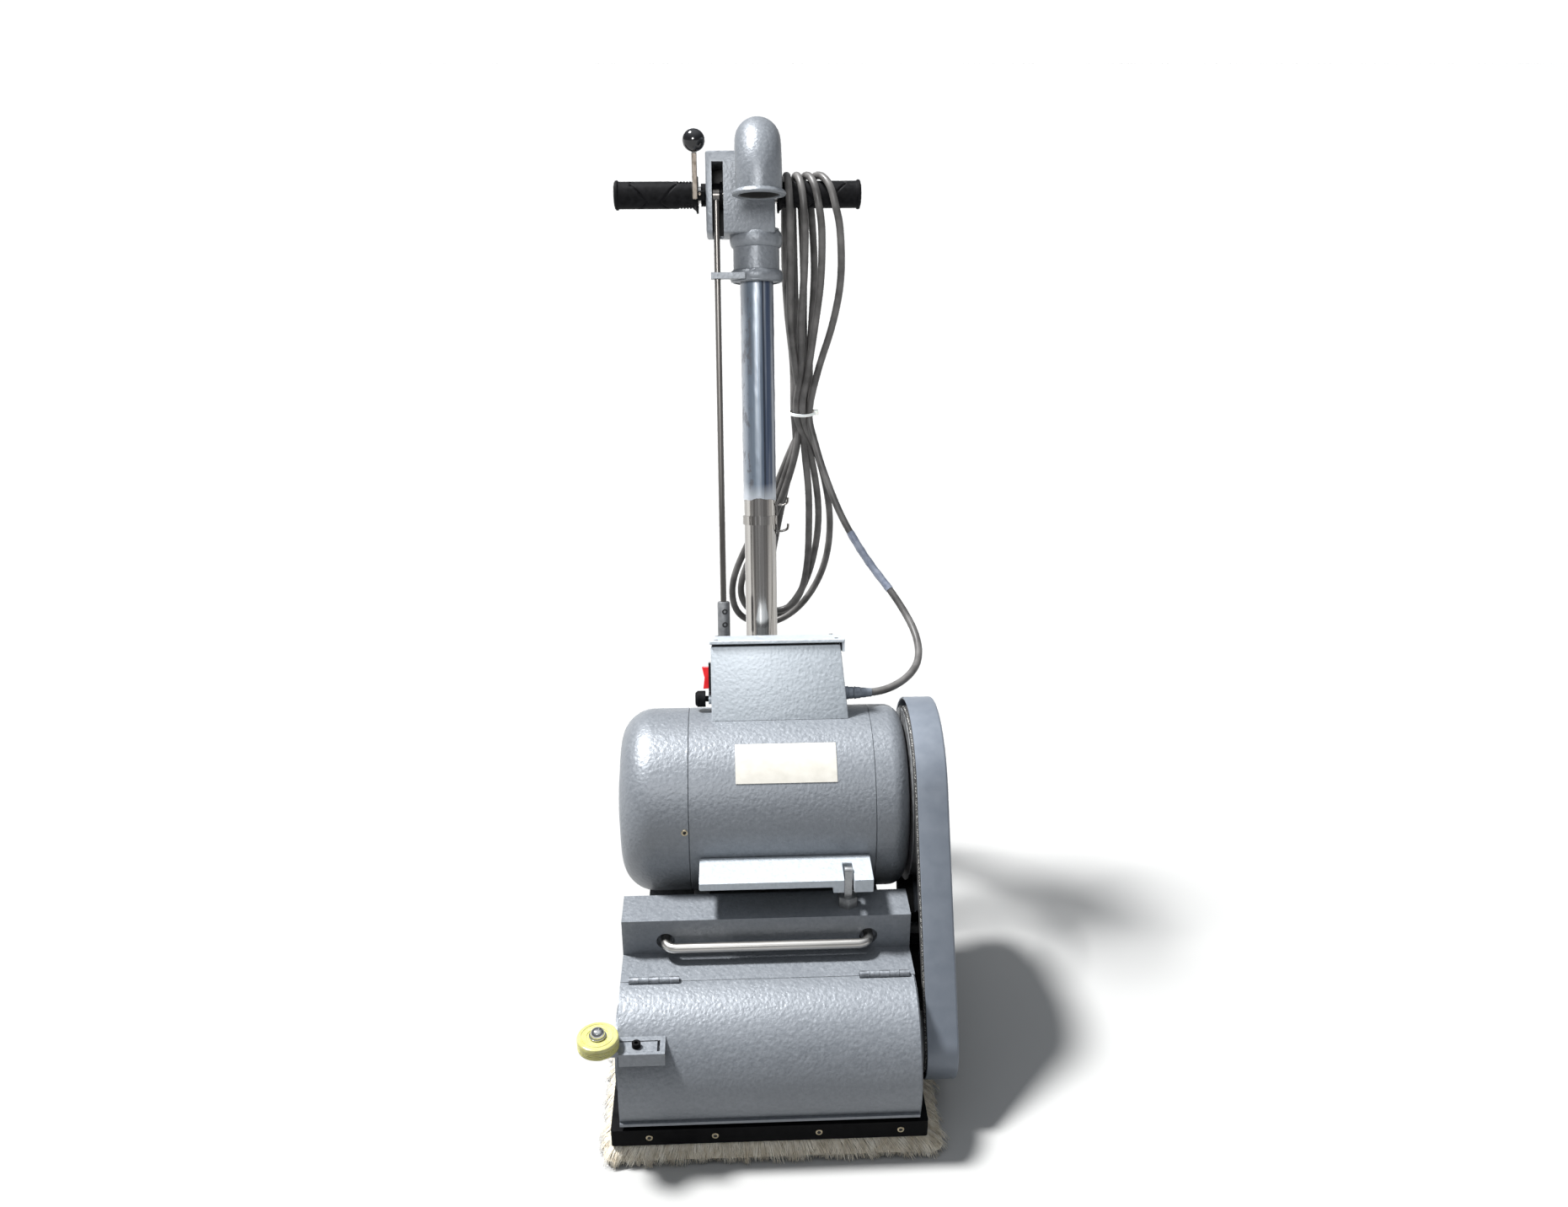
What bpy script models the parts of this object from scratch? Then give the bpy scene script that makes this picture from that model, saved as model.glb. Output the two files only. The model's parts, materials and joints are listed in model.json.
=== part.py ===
"""Floor drum sander: every sub-part is one closed solid, in metres, Z up, front facing -Y.

The named constants are millimetres, and the helpers turn them into metres.
They are drawn from the drum's axis over y = 0 with the floor at z = 0, and centre_footprint()
then puts the origin at the middle of the machine's footprint.
"""

import math

import bmesh
import bpy
from mathutils import Matrix, Vector

MM = 0.001
GAP = 0.3
MIDDLE = (3.25, 262.0)

# Drum and its housing
DRUM_Z = 85.5
BODY_X = 174.0
WALL_X = 156.0
SHELL_R = 93.7
CAVITY_R = 88.0
LEDGE_Z = 182.5
FACE_Y = 50.0
TOP_Z = 231.0
BACK_Y = 101.0
SKIRT_Y = -88.9
DRUM_R = 80.0
DRUM_HALF = 150.0
SHAFT_R = 13.0

# Door and its hinges
DOOR_IN_R = 94.0
DOOR_OUT_R = 97.0
DOOR_X = (-174.0, 172.0)
DOOR_LOW_Z = 57.0
HINGE_Z = 184.2
BARREL_R = 4.4
PIN_R = 1.6
HINGE_SPANS = {"left": (-164.0, -104.5), "right": (108.0, 167.0)}

# Pull-out carrying bar
BAR_X = (-122.0, 123.0)
BAR_Z = 201.0
BAR_Y = 36.0
BAR_R = 6.0

# Base band and bristles
BAND_X = (-185.0, 182.0)
BAND_Y = (-97.0, 108.0)
BAND_Z = (27.0, 50.0)

# Guide roller on the door
ROLLER_X = -194.0
ROLLER_Y = -80.0
ROLLER_R = 23.5
ARM_Z = (150.6, 158.2)

# Motor
MOTOR_Y = 224.0
MOTOR_Z = 293.0
MOTOR_R = 116.5
SEAM_X = (-92.0, 137.0)

# Belt drive on the right
PULLEY_X = (184.0, 206.0)
GUARD_X = (186.0, 224.0)
FAN_Y = 190.0
FAN_Z = 98.0
BELT_RADII = {"motor": 106.0, "drum": 32.0, "fan": 20.0}
BELT_THICK = 8.0

# Terminal box, which leans back round the motor's axis
BOX_LEAN = math.radians(22.0)
BOX_TOP = 199.0
PLUG_X = 17.0
BOX_HALF = 51.0

# Handle tube, which leans back from its foot
TUBE_X = 6.0
TUBE_LEAN = math.radians(16.0)
FOOT_Y = 369.0
FOOT_Z = 240.0
TUBE_R = 21.75
NECK_S = 681.0
GRIP_S = 794.8
ROD_X = -46.5
ROD_N = 29.4
AXLE_S = -206.0
CRANK_R = 30.0
CRANK_REST = math.radians(-10.5)
ARM_LENGTH = 90.0
WHEEL_R = 50.0

PARTS = None
CUTTERS = None


def clear_scene():
    for old in list(bpy.data.objects):
        bpy.data.objects.remove(old)


def collection(name):
    made = bpy.data.collections.new(name)
    bpy.context.scene.collection.children.link(made)
    return made


def paint(name, colour, roughness, metallic):
    material = bpy.data.materials.new(name)
    material.use_nodes = True
    shader = material.node_tree.nodes["Principled BSDF"]
    shader.inputs["Base Color"].default_value = (*colour, 1.0)
    shader.inputs["Roughness"].default_value = roughness
    shader.inputs["Metallic"].default_value = metallic
    material.diffuse_color = (*colour, 1.0)
    return material


LOOKS = {
    "hammertone": ((0.52, 0.55, 0.60), 0.4, 0.6),
    "steel": ((0.62, 0.62, 0.60), 0.25, 1.0),
    "chrome": ((0.80, 0.80, 0.82), 0.08, 1.0),
    "black": ((0.02, 0.02, 0.02), 0.5, 0.0),
    "rubber": ((0.03, 0.03, 0.035), 0.7, 0.0),
    "bristle": ((0.78, 0.72, 0.60), 0.9, 0.0),
    "roller": ((0.85, 0.80, 0.30), 0.25, 0.0),
    "red": ((0.75, 0.03, 0.03), 0.3, 0.0),
    "cord": ((0.35, 0.35, 0.35), 0.6, 0.0),
    "abrasive": ((0.30, 0.14, 0.08), 0.95, 0.0),
    "cast": ((0.35, 0.36, 0.38), 0.6, 0.7),
    "film": ((0.55, 0.62, 0.72), 0.2, 0.0),
    "copper": ((0.60, 0.30, 0.15), 0.4, 1.0),
    "white": ((0.85, 0.85, 0.83), 0.5, 0.0),
}


def keep(mesh, name, look):
    """A part: one object in the parts collection with its own material."""
    mesh.name = name
    for polygon in mesh.polygons:
        polygon.use_smooth = True
    mesh.set_sharp_from_angle(angle=math.radians(35.0))
    part = bpy.data.objects.new(name, mesh)
    part.data.materials.clear()
    part.data.materials.append(paint(name, *LOOKS[look]))
    PARTS.objects.link(part)
    return part


def tool(mesh, name="tool"):
    """A helper solid that only Booleans use."""
    helper = bpy.data.objects.new(name, mesh)
    helper.hide_render = True
    helper.display_type = "WIRE"
    CUTTERS.objects.link(helper)
    return helper


def boolean(part, operation, *meshes):
    for mesh in meshes:
        modifier = part.modifiers.new(operation.lower(), "BOOLEAN")
        modifier.operation = operation
        modifier.solver = "EXACT"
        modifier.object = tool(mesh, part.name + "_" + operation.lower())
    return part


def cut(part, *meshes):
    return boolean(part, "DIFFERENCE", *meshes)


def join(part, *meshes):
    return boolean(part, "UNION", *meshes)


def bevel(part, width, segments=2, degrees=50.0):
    modifier = part.modifiers.new("bevel", "BEVEL")
    modifier.width = width * MM
    modifier.segments = segments
    modifier.limit_method = "ANGLE"
    modifier.angle_limit = math.radians(degrees)
    return part


def set_origin(part, point):
    """Moves the origin to the joint axis and leaves the shape where it is."""
    offset = Vector(point) * MM
    shift = Matrix.Translation(-offset)
    part.data.transform(shift)
    part.location = offset
    return part


def frame(origin, x_axis, y_axis):
    """A matrix in metres that places local axes at an origin in millimetres."""
    x = Vector(x_axis).normalized()
    z = x.cross(Vector(y_axis)).normalized()
    y = z.cross(x)
    matrix = Matrix((x, y, z)).transposed().to_4x4()
    matrix.translation = Vector(origin) * MM
    return matrix


def from_bmesh(made, matrix):
    mesh = bpy.data.meshes.new("shape")
    bmesh.ops.recalc_face_normals(made, faces=made.faces)
    made.to_mesh(mesh)
    made.free()
    mesh.transform(matrix)
    return mesh


def box(low, high, matrix=None):
    made = bmesh.new()
    size = [(b - a) * MM for a, b in zip(low, high)]
    centre = [(a + b) * MM / 2 for a, b in zip(low, high)]
    bmesh.ops.create_cube(made, size=1.0)
    bmesh.ops.scale(made, vec=size, verts=made.verts)
    bmesh.ops.translate(made, vec=centre, verts=made.verts)
    return from_bmesh(made, matrix or Matrix())


def cylinder(radius, low, high, matrix, segments=24, top_radius=None):
    """A cylinder or cone along the matrix's Z, between two heights."""
    made = bmesh.new()
    bmesh.ops.create_cone(
        made,
        cap_ends=True,
        segments=segments,
        radius1=radius * MM,
        radius2=(radius if top_radius is None else top_radius) * MM,
        depth=(high - low) * MM,
    )
    bmesh.ops.translate(made, vec=(0, 0, (low + high) * MM / 2), verts=made.verts)
    return from_bmesh(made, matrix)


def x_axis_at(y, z):
    """Local Z becomes the world X through a point."""
    return frame((0, y, z), (0, 1, 0), (0, 0, 1))


def x_cylinder(radius, low, high, y, z, segments=24):
    return cylinder(radius, low, high, x_axis_at(y, z), segments)


def z_cylinder(radius, low, high, x, y, segments=20, top_radius=None):
    return cylinder(radius, low, high, Matrix.Translation((x * MM, y * MM, 0)), segments, top_radius)


def sphere(radius, centre, segments=16):
    made = bmesh.new()
    bmesh.ops.create_uvsphere(made, u_segments=segments, v_segments=segments // 2, radius=radius * MM)
    return from_bmesh(made, Matrix.Translation(Vector(centre) * MM))


def evaluated(data, matrix, modifiers=()):
    """The solid that a curve or a profile with modifiers makes, as a plain mesh."""
    source = bpy.data.objects.new("source", data)
    bpy.context.scene.collection.objects.link(source)
    for kind, settings in modifiers:
        modifier = source.modifiers.new(kind.lower(), kind)
        for key, value in settings.items():
            setattr(modifier, key, value)
    bpy.context.view_layer.update()
    graph = bpy.context.evaluated_depsgraph_get()
    mesh = bpy.data.meshes.new_from_object(source.evaluated_get(graph), depsgraph=graph)
    bpy.data.objects.remove(source)
    made = bmesh.new()
    made.from_mesh(mesh)
    bmesh.ops.remove_doubles(made, verts=made.verts, dist=1e-6)
    return from_bmesh(made, matrix)


def prism(loops, low, high, matrix):
    """A flat outline with optional holes, filled and extruded along the matrix's Z."""
    curve = bpy.data.curves.new("outline", "CURVE")
    curve.dimensions = "2D"
    curve.fill_mode = "BOTH"
    curve.extrude = (high - low) * MM / 2
    for loop in loops:
        spline = curve.splines.new("POLY")
        spline.points.add(len(loop) - 1)
        for point, (u, v) in zip(spline.points, loop):
            point.co = (u * MM, v * MM, 0.0, 1.0)
        spline.use_cyclic_u = True
    lift = Matrix.Translation((0, 0, (low + high) * MM / 2))
    return evaluated(curve, matrix @ lift)


def x_prism(loops, low, high):
    """An outline of (y, z) points extruded along X."""
    return prism(loops, low, high, x_axis_at(0, 0))


def revolve(profile, matrix, steps=24, closed=False):
    """A profile of (radius, height) points turned round the matrix's Z."""
    mesh = bpy.data.meshes.new("profile")
    points = [(r * MM, 0.0, h * MM) for r, h in profile]
    edges = [(i, i + 1) for i in range(len(points) - 1)]
    if closed:
        edges.append((len(points) - 1, 0))
    edges = [(i, j) for i, j in edges if profile[i][0] + profile[j][0] > 0]
    mesh.from_pydata(points, edges, [])
    settings = {
        "steps": steps,
        "render_steps": steps,
        "use_merge_vertices": True,
        "merge_threshold": 1e-5,
        "use_normal_calculate": True,
    }
    return evaluated(mesh, matrix, [("SCREW", settings)])


def rod(points, radius, resolution=2, cyclic=False):
    """A round bar along a path of (x, y, z) points."""
    curve = bpy.data.curves.new("path", "CURVE")
    curve.dimensions = "3D"
    curve.bevel_depth = radius * MM
    curve.bevel_resolution = resolution
    curve.use_fill_caps = not cyclic
    spline = curve.splines.new("POLY")
    spline.points.add(len(points) - 1)
    for point, place in zip(spline.points, points):
        point.co = (*(Vector(place) * MM), 1.0)
    spline.use_cyclic_u = cyclic
    return evaluated(curve, Matrix())


def loft_ring(loops):
    """A closed skin through loops of equal length, whose last loop joins the first."""
    made = bmesh.new()
    rows = [[made.verts.new(Vector(p) * MM) for p in loop] for loop in loops]
    for row, following in zip(rows, rows[1:] + rows[:1]):
        for i in range(len(row)):
            j = (i + 1) % len(row)
            made.faces.new((row[i], row[j], following[j], following[i]))
    return from_bmesh(made, Matrix())


def flat_band(rows, half_thick):
    """A strap through (x, y, z, half width) rows, whose width runs along X."""
    made = bmesh.new()
    loops = []
    for before, row, after in zip([rows[0]] + rows, rows, rows[1:] + [rows[-1]]):
        step = (after - before).yz.normalized()
        out = Vector((0, -step.y, step.x))
        corners = [(-1, -0.5), (-1, 0.5), (-0.9, 1), (0.9, 1), (1, 0.5), (1, -0.5), (0.9, -1), (-0.9, -1)]
        places = [row.xyz + Vector((u * row.w, 0, 0)) + out * (v * half_thick) for u, v in corners]
        loops.append([made.verts.new(place * MM) for place in places])
    for loop, following in zip(loops, loops[1:]):
        for i in range(8):
            j = (i + 1) % 8
            made.faces.new((loop[i], loop[j], following[j], following[i]))
    made.faces.new(loops[0])
    made.faces.new(loops[-1][::-1])
    return from_bmesh(made, Matrix())


def arc(centre, radius, start, end, count):
    """Points on a circle, both ends included, with the angles in degrees."""
    found = []
    for i in range(count + 1):
        angle = math.radians(start + (end - start) * i / count)
        found.append((centre[0] + radius * math.cos(angle), centre[1] + radius * math.sin(angle)))
    return found


def hull(circles, count=32):
    """The outline of a belt stretched round circles given as (u, v, radius)."""
    points = []
    for u, v, radius in circles:
        points += arc((u, v), radius, 0.0, 360.0 * (count - 1) / count, count - 1)
    points = sorted(set((round(p[0], 4), round(p[1], 4)) for p in points))

    def half(ordered):
        chain = []
        for point in ordered:
            while len(chain) > 1 and turns_right(chain[-2], chain[-1], point):
                chain.pop()
            chain.append(point)
        return chain[:-1]

    return half(points) + half(points[::-1])


def turns_right(a, b, c):
    return (b[0] - a[0]) * (c[1] - a[1]) - (b[1] - a[1]) * (c[0] - a[0]) <= 1e-6


def rounded_rectangle(x_span, y_span, radius, z, corner_steps=3):
    found = []
    corners = [(1, 1, 0.0), (0, 1, 90.0), (0, 0, 180.0), (1, 0, 270.0)]
    for ix, iy, start in corners:
        x = x_span[ix] + (-radius if ix else radius)
        y = y_span[iy] + (-radius if iy else radius)
        found += [(u, v, z) for u, v in arc((x, y), radius, start, start + 90.0, corner_steps)]
    return found


def flat(loop):
    return [(x, y) for x, y, _ in loop]


def bent_path(corners, radius, steps=6):
    """A path through corners, each rounded to a radius."""
    points = [Vector(corners[0])]
    for before, corner, after in zip(corners, corners[1:], corners[2:]):
        corner = Vector(corner)
        into = (corner - Vector(before)).normalized()
        out = (Vector(after) - corner).normalized()
        half = into.angle(out) / 2
        reach = radius * math.tan(half)
        centre = corner + (out - into).normalized() * radius / math.cos(half)
        first = corner - into * reach - centre
        last = corner + out * reach - centre
        for i in range(steps + 1):
            points.append(centre + first.slerp(last, i / steps).normalized() * radius)
    points.append(Vector(corners[-1]))
    return points


def smooth_path(points, steps=6):
    """A Catmull-Rom curve through points."""
    places = [Vector(p) for p in points]
    places = [places[0] * 2 - places[1]] + places + [places[-1] * 2 - places[-2]]
    found = []
    for a, b, c, d in zip(places, places[1:], places[2:], places[3:]):
        for i in range(steps):
            t = i / steps
            near = b * 2 + (c - a) * t
            far = (a * 2 - b * 5 + c * 4 - d) * t * t + (b * 3 - a - c * 3 + d) * t * t * t
            found.append((near + far) / 2)
    found.append(places[-2])
    return found


def tube_point(n, s):
    """(y, z) at a distance n in front of the handle tube's axis and s up it from the foot."""
    y = FOOT_Y - n * math.cos(TUBE_LEAN) + s * math.sin(TUBE_LEAN)
    z = FOOT_Z + n * math.sin(TUBE_LEAN) + s * math.cos(TUBE_LEAN)
    return y, z


def tube_frame(x, n, s):
    """Local X is world X, local Y points to the back and local Z runs up the tube."""
    return frame((x, *tube_point(n, s)), (1, 0, 0), (0, math.cos(TUBE_LEAN), -math.sin(TUBE_LEAN)))


def box_frame():
    """Local X is world X, local Y points to the back and local Z runs up the leaning box."""
    return frame((0, MOTOR_Y, MOTOR_Z), (1, 0, 0), (0, math.cos(BOX_LEAN), -math.sin(BOX_LEAN)))


def hinge_parts():
    """(span, knuckle intervals) of both door hinges."""
    found = {}
    for side, (low, high) in HINGE_SPANS.items():
        step = (high - low) / 5
        found[side] = [(low + i * step + 0.25, low + (i + 1) * step - 0.25) for i in range(5)]
    return found


def make_housing():
    outline = [(0.2, LEDGE_Z), (FACE_Y, LEDGE_Z), (FACE_Y, TOP_Z), (BACK_Y, TOP_Z)]
    outline += [(BACK_Y, 30.0), (SKIRT_Y, 30.0)]
    low_angle = -math.degrees(math.acos(-SKIRT_Y / SHELL_R))
    outline += arc((0.0, DRUM_Z), SHELL_R, 180.0 - low_angle, 90.0, 16)
    housing = keep(x_prism([outline], -BODY_X, BODY_X), "drum_housing", "hammertone")
    hollow = [(-84.5, 15.0), (-84.5, 57.0), (-105.0, 62.0), (-105.0, 205.0), (-4.0, 205.0)]
    hollow += arc((0.0, DRUM_Z), CAVITY_R, 92.6, 0.0, 16)
    hollow += [(CAVITY_R, 15.0)]
    cut(housing, x_prism([hollow], -WALL_X, WALL_X))
    join(housing, x_prism([arc((0.0, DRUM_Z), 50.0, -44.0, 224.0, 24)], -181.0, -173.0))
    cut(housing, x_cylinder(SHAFT_R + GAP, -172.0, 180.0, 0, DRUM_Z))
    for x in BAR_X:
        into = frame((x, 0, BAR_Z), (1, 0, 0), (0, 0, -1))
        cut(housing, cylinder(11.0, FACE_Y - 5, FACE_Y + 9, into))
        cut(housing, cylinder(BAR_R + GAP, FACE_Y + 8, FACE_Y + 44, into, 24))
    for low, high in HINGE_SPANS.values():
        cut(housing, x_cylinder(BARREL_R + GAP, low - GAP, high + GAP, 0, HINGE_Z, 20))
    cut(housing, box((-66, 80, 70), (-36, 110, 130)))


def make_band():
    outer = flat(rounded_rectangle(BAND_X, BAND_Y, 3.0, 0))
    seat_spans = ((-BODY_X - GAP, BODY_X + GAP), (SKIRT_Y - GAP, BACK_Y + GAP))
    seat = flat(rounded_rectangle(*seat_spans, 0.5, 0, 1))
    wall_spans = ((BAND_X[0] + 4, BAND_X[1] - 4), (BAND_Y[0] + 4, BAND_Y[1] - 4))
    wall = flat(rounded_rectangle(*wall_spans, 1.0, 0, 1))
    band = keep(prism([outer, seat], BAND_Z[1] - 4, BAND_Z[1], Matrix()), "base_band", "black")
    join(band, prism([outer, wall], BAND_Z[0], BAND_Z[1] - 2, Matrix()))
    top = BAND_Z[0] + 2.5
    loops = [
        rounded_rectangle((-180.7, 177.7), (-92.7, 103.7), 6.0, top),
        rounded_rectangle((-181.0, 178.0), (-93.2, 104.0), 7.0, BAND_Z[0] - 3),
        rounded_rectangle((-196.0, 193.0), (-102.0, 112.0), 12.0, 12.0),
        rounded_rectangle((-205.0, 202.0), (-109.0, 117.0), 16.0, 0.0),
        rounded_rectangle((-183.0, 180.0), (-90.0, 100.0), 10.0, 0.0),
        rounded_rectangle((-168.0, 166.0), (-83.0, 94.0), 6.0, top),
    ]
    keep(loft_ring(loops), "bristle_skirt", "bristle")


def make_door():
    low = math.degrees(math.asin((DOOR_LOW_Z - DRUM_Z) / DOOR_OUT_R))
    top = 90.35
    outline = arc((0.0, DRUM_Z), DOOR_OUT_R, 180.0 - low, top, 22)
    outline += arc((0.0, DRUM_Z), DOOR_IN_R, top, 180.0 - low, 22)
    door = keep(x_prism([outline], *DOOR_X), "front_door", "hammertone")
    join(door, box((DOOR_X[0], -97.5, 56.5), (DOOR_X[1], -92.0, 60.3)))
    for knuckles in hinge_parts().values():
        for i, (start, end) in enumerate(knuckles):
            if i % 2 == 0:
                cut(door, x_cylinder(BARREL_R + GAP, start - 0.5, end + 0.5, 0, HINGE_Z, 20))
        for start, end in knuckles[1::2]:
            join(door, x_cylinder(BARREL_R, start, end, 0, HINGE_Z, 20))
        cut(door, x_cylinder(PIN_R + GAP, knuckles[0][0] - 1, knuckles[-1][1] + 1, 0, HINGE_Z, 12))
    set_origin(door, (0, 0, HINGE_Z))
    for side, knuckles in hinge_parts().items():
        hinge = keep(
            x_cylinder(PIN_R, knuckles[0][0] + 1, knuckles[-1][1] - 1, 0, HINGE_Z, 12),
            "hinge_" + side,
            "steel",
        )
        for start, end in knuckles[::2]:
            join(hinge, x_cylinder(BARREL_R, start, end, 0, HINGE_Z, 20))


def make_carry_bar():
    left, right = BAR_X
    corners = [(left, 80, BAR_Z), (left, BAR_Y, BAR_Z), (right, BAR_Y, BAR_Z), (right, 80, BAR_Z)]
    bar = keep(rod(bent_path(corners, 13.0), BAR_R, 4), "carry_bar", "steel")
    set_origin(bar, (0, BAR_Y, BAR_Z))


def make_guide_roller():
    trough = keep(box((-171, -93, 141.5), (-119, -62, ARM_Z[1] + 0.3)), "roller_channel", "hammertone")
    cut(trough, box((-175, -88.5, ARM_Z[0] - GAP), (-125, -71, 165)))
    cut(trough, x_cylinder(DOOR_OUT_R + GAP, -180, -110, 0, DRUM_Z, 96))
    cut(trough, box((-173, ROLLER_Y - 3.0, 135), (-148.0, ROLLER_Y + 3.0, 155)))
    set_origin(trough, (-145, ROLLER_Y, 150))

    low, high = ARM_Z
    blade = box((ROLLER_X, ROLLER_Y - 8.0, low), (-128, ROLLER_Y + 7.8, high))
    arm = keep(blade, "roller_arm", "hammertone")
    join(arm, z_cylinder(8.2, low, high, ROLLER_X, ROLLER_Y))
    cut(arm, z_cylinder(4.4, 140, 165, ROLLER_X, ROLLER_Y, 16))
    cut(arm, z_cylinder(3.0, 140, 165, -151.5, ROLLER_Y, 12))
    set_origin(arm, (-150, ROLLER_Y, high))

    screw = keep(z_cylinder(5.0, high + GAP, high + 6.2, -151.5, ROLLER_Y, 16), "clamp_screw", "black")
    join(screw, z_cylinder(2.6, 144.8, high + 2, -151.5, ROLLER_Y, 12))
    cut(screw, z_cylinder(2.3, high + 3, high + 8, -151.5, ROLLER_Y, 6))
    set_origin(screw, (-151.5, ROLLER_Y, high))

    profile = [(4.4, 158.8), (9, 158.8), (ROLLER_R - 1.5, 159.6), (ROLLER_R, 161.4)]
    profile += [(ROLLER_R, 173.5), (ROLLER_R - 2, 175.4), (4.4, 175.4)]
    centre = Matrix.Translation((ROLLER_X * MM, ROLLER_Y * MM, 0))
    roller = keep(revolve(profile, centre, 28, True), "guide_roller", "roller")
    set_origin(roller, (ROLLER_X, ROLLER_Y, 166))

    profile = [(0, 185.2), (3.5, 184.6), (6.3, 182.6), (8.2, 179.4), (8.5, 175.8), (4.0, 175.8)]
    profile += [(4.0, 150.1), (7.5, 150.1), (7.5, 145.4), (0, 145.4)]
    nut = keep(revolve(profile, centre, 20), "roller_stud", "chrome")
    set_origin(nut, (ROLLER_X, ROLLER_Y, 166))


def make_drum():
    core = keep(x_cylinder(78.4, -148, 148, 0, DRUM_Z, 40), "drum_core", "rubber")
    join(core, x_cylinder(SHAFT_R, -170, 212, 0, DRUM_Z, 24))
    set_origin(core, (0, 0, DRUM_Z))
    profile = [(78.7, -DRUM_HALF), (DRUM_R, -DRUM_HALF), (DRUM_R, DRUM_HALF), (78.7, DRUM_HALF)]
    sleeve = keep(revolve(profile, x_axis_at(0, DRUM_Z), 40, True), "abrasive_sleeve", "abrasive")
    set_origin(sleeve, (0, 0, DRUM_Z))


def belt_circles(extra):
    places = {"motor": (MOTOR_Y, MOTOR_Z), "drum": (0.0, DRUM_Z), "fan": (FAN_Y, FAN_Z)}
    return [(*places[name], radius + extra) for name, radius in BELT_RADII.items()]


def make_belt_drive():
    loops = [hull(belt_circles(BELT_THICK)), hull(belt_circles(0.0))]
    keep(x_prism(loops, *PULLEY_X), "drive_belt", "rubber")
    bores = {"motor": 12.3, "drum": SHAFT_R + GAP, "fan": 6.8}
    for (y, z, radius), name in zip(belt_circles(-3 * GAP), BELT_RADII):
        low, high = PULLEY_X
        rim = radius + BELT_THICK - 1.5
        bore = bores[name]
        profile = [(bore, low - 1.7), (rim, low - 1.7), (rim, low - 0.5), (radius, low - 0.5)]
        profile += [(radius, high + 0.5), (rim, high + 0.5), (rim, high + 2.8), (bore, high + 2.8)]
        if name == "motor":
            recess = [(94, high + 2.8), (94, high - 7), (26, high - 7), (26, high + 2.8)]
            profile = profile[:7] + recess + profile[7:]
        steps = 32 if name == "motor" else 20
        pulley = keep(revolve(profile, x_axis_at(y, z), steps, True), name + "_pulley", "cast")
        set_origin(pulley, (0, y, z))

    guard_circles = [(MOTOR_Y, MOTOR_Z, 125.0), (0.0, DRUM_Z, 48.0), (FAN_Y, FAN_Z, 40.0)]
    inner_circles = [(y, z, radius - 2.5) for y, z, radius in guard_circles]
    guard = keep(x_prism([hull(guard_circles, 32)], *GUARD_X), "belt_guard", "hammertone")
    bevel(guard, 1.6, 1, 60.0)
    cut(guard, x_prism([hull(inner_circles, 32)], GUARD_X[0] - 8, GUARD_X[1] - 2.5))

    places = [(0.0, DRUM_Z, 34.0), (95.0, 160.0, 14.0), (150.0, 150.0, 14.0)]
    bracket = keep(x_prism([hull(places, 20)], BODY_X + GAP, BODY_X + 3.3), "guard_bracket", "black")
    cut(bracket, x_cylinder(SHAFT_R + 2, BODY_X - 5, BODY_X + 8, 0, DRUM_Z))
    for y, z, _ in places[1:]:
        join(bracket, x_cylinder(6.0, BODY_X + 2, GUARD_X[1] - 2.5 - GAP, y, z, 16))


def make_motor():
    axis = x_axis_at(MOTOR_Y, MOTOR_Z)
    left, right = SEAM_X
    inner = MOTOR_R - 5
    profile = [(inner, left), (MOTOR_R, left), (MOTOR_R, right), (inner, right)]
    shell = keep(revolve(profile, axis, 36, True), "motor_shell", "hammertone")
    boss = cylinder(14.0, 104, 130, box_frame(), 20)
    cut(shell, boss)

    seam = left - GAP
    profile = [(inner, seam), (MOTOR_R, seam)]
    profile += [(r, h) for r, h in arc((MOTOR_R - 42, -137.0), 42.0, 0.0, -80.0, 5)]
    profile += [(62, -180.3), (32, -183.3), (0, -184.5)]
    profile += [(0, -166), (12.5, -166), (12.5, -112), (22, -112), (22, -176), (60, -174.5)]
    profile += [(r, h) for r, h in arc((MOTOR_R - 42, -137.0), 37.0, -76.0, 0.0, 3)]
    keep(revolve(profile, axis, 36, True), "motor_end_left", "hammertone")

    seam = right + GAP
    profile = [(MOTOR_R, seam), (inner, seam), (inner, 160), (98, 172), (12.5, 172), (12.5, 180)]
    profile += [(r, h) for r, h in arc((MOTOR_R - 22, 158.0), 22.0, 90.0, 0.0, 4)]
    keep(revolve(profile, axis, 36, True), "motor_end_right", "hammertone")

    profile = [(62, -60), (inner - 1, -60), (inner - 1, 100), (62, 100)]
    keep(revolve(profile, axis, 32, True), "motor_stator", "copper")
    rotor = keep(x_cylinder(60.5, -60, 100, MOTOR_Y, MOTOR_Z, 40), "motor_rotor", "steel")
    join(rotor, x_cylinder(12.0, -160, 213, MOTOR_Y, MOTOR_Z, 24))
    set_origin(rotor, (0, MOTOR_Y, MOTOR_Z))

    lug = keep(box((-80, 55, 269), (128.5, 118, 279)), "motor_lug", "hammertone")
    join(lug, box((80, 55, 261), (128.5, 118, 279)))
    cut(lug, box((93.5, 50, 250), (105.5, 92, 290)))
    cut(lug, x_cylinder(MOTOR_R + GAP, -200, 200, MOTOR_Y, MOTOR_Z, 112))

    bolt = keep(z_cylinder(12.5, TOP_Z + GAP, 238, 99.5, 74, 6), "tension_bolt", "steel")
    join(bolt, z_cylinder(12.5, 237, 245, 99.5, 74, 6, 12.2))
    join(bolt, box((95, 69, 240), (104, 79, 279.5)))
    join(bolt, x_cylinder(5.0, 95, 104, 74, 279.5, 20))


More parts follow.
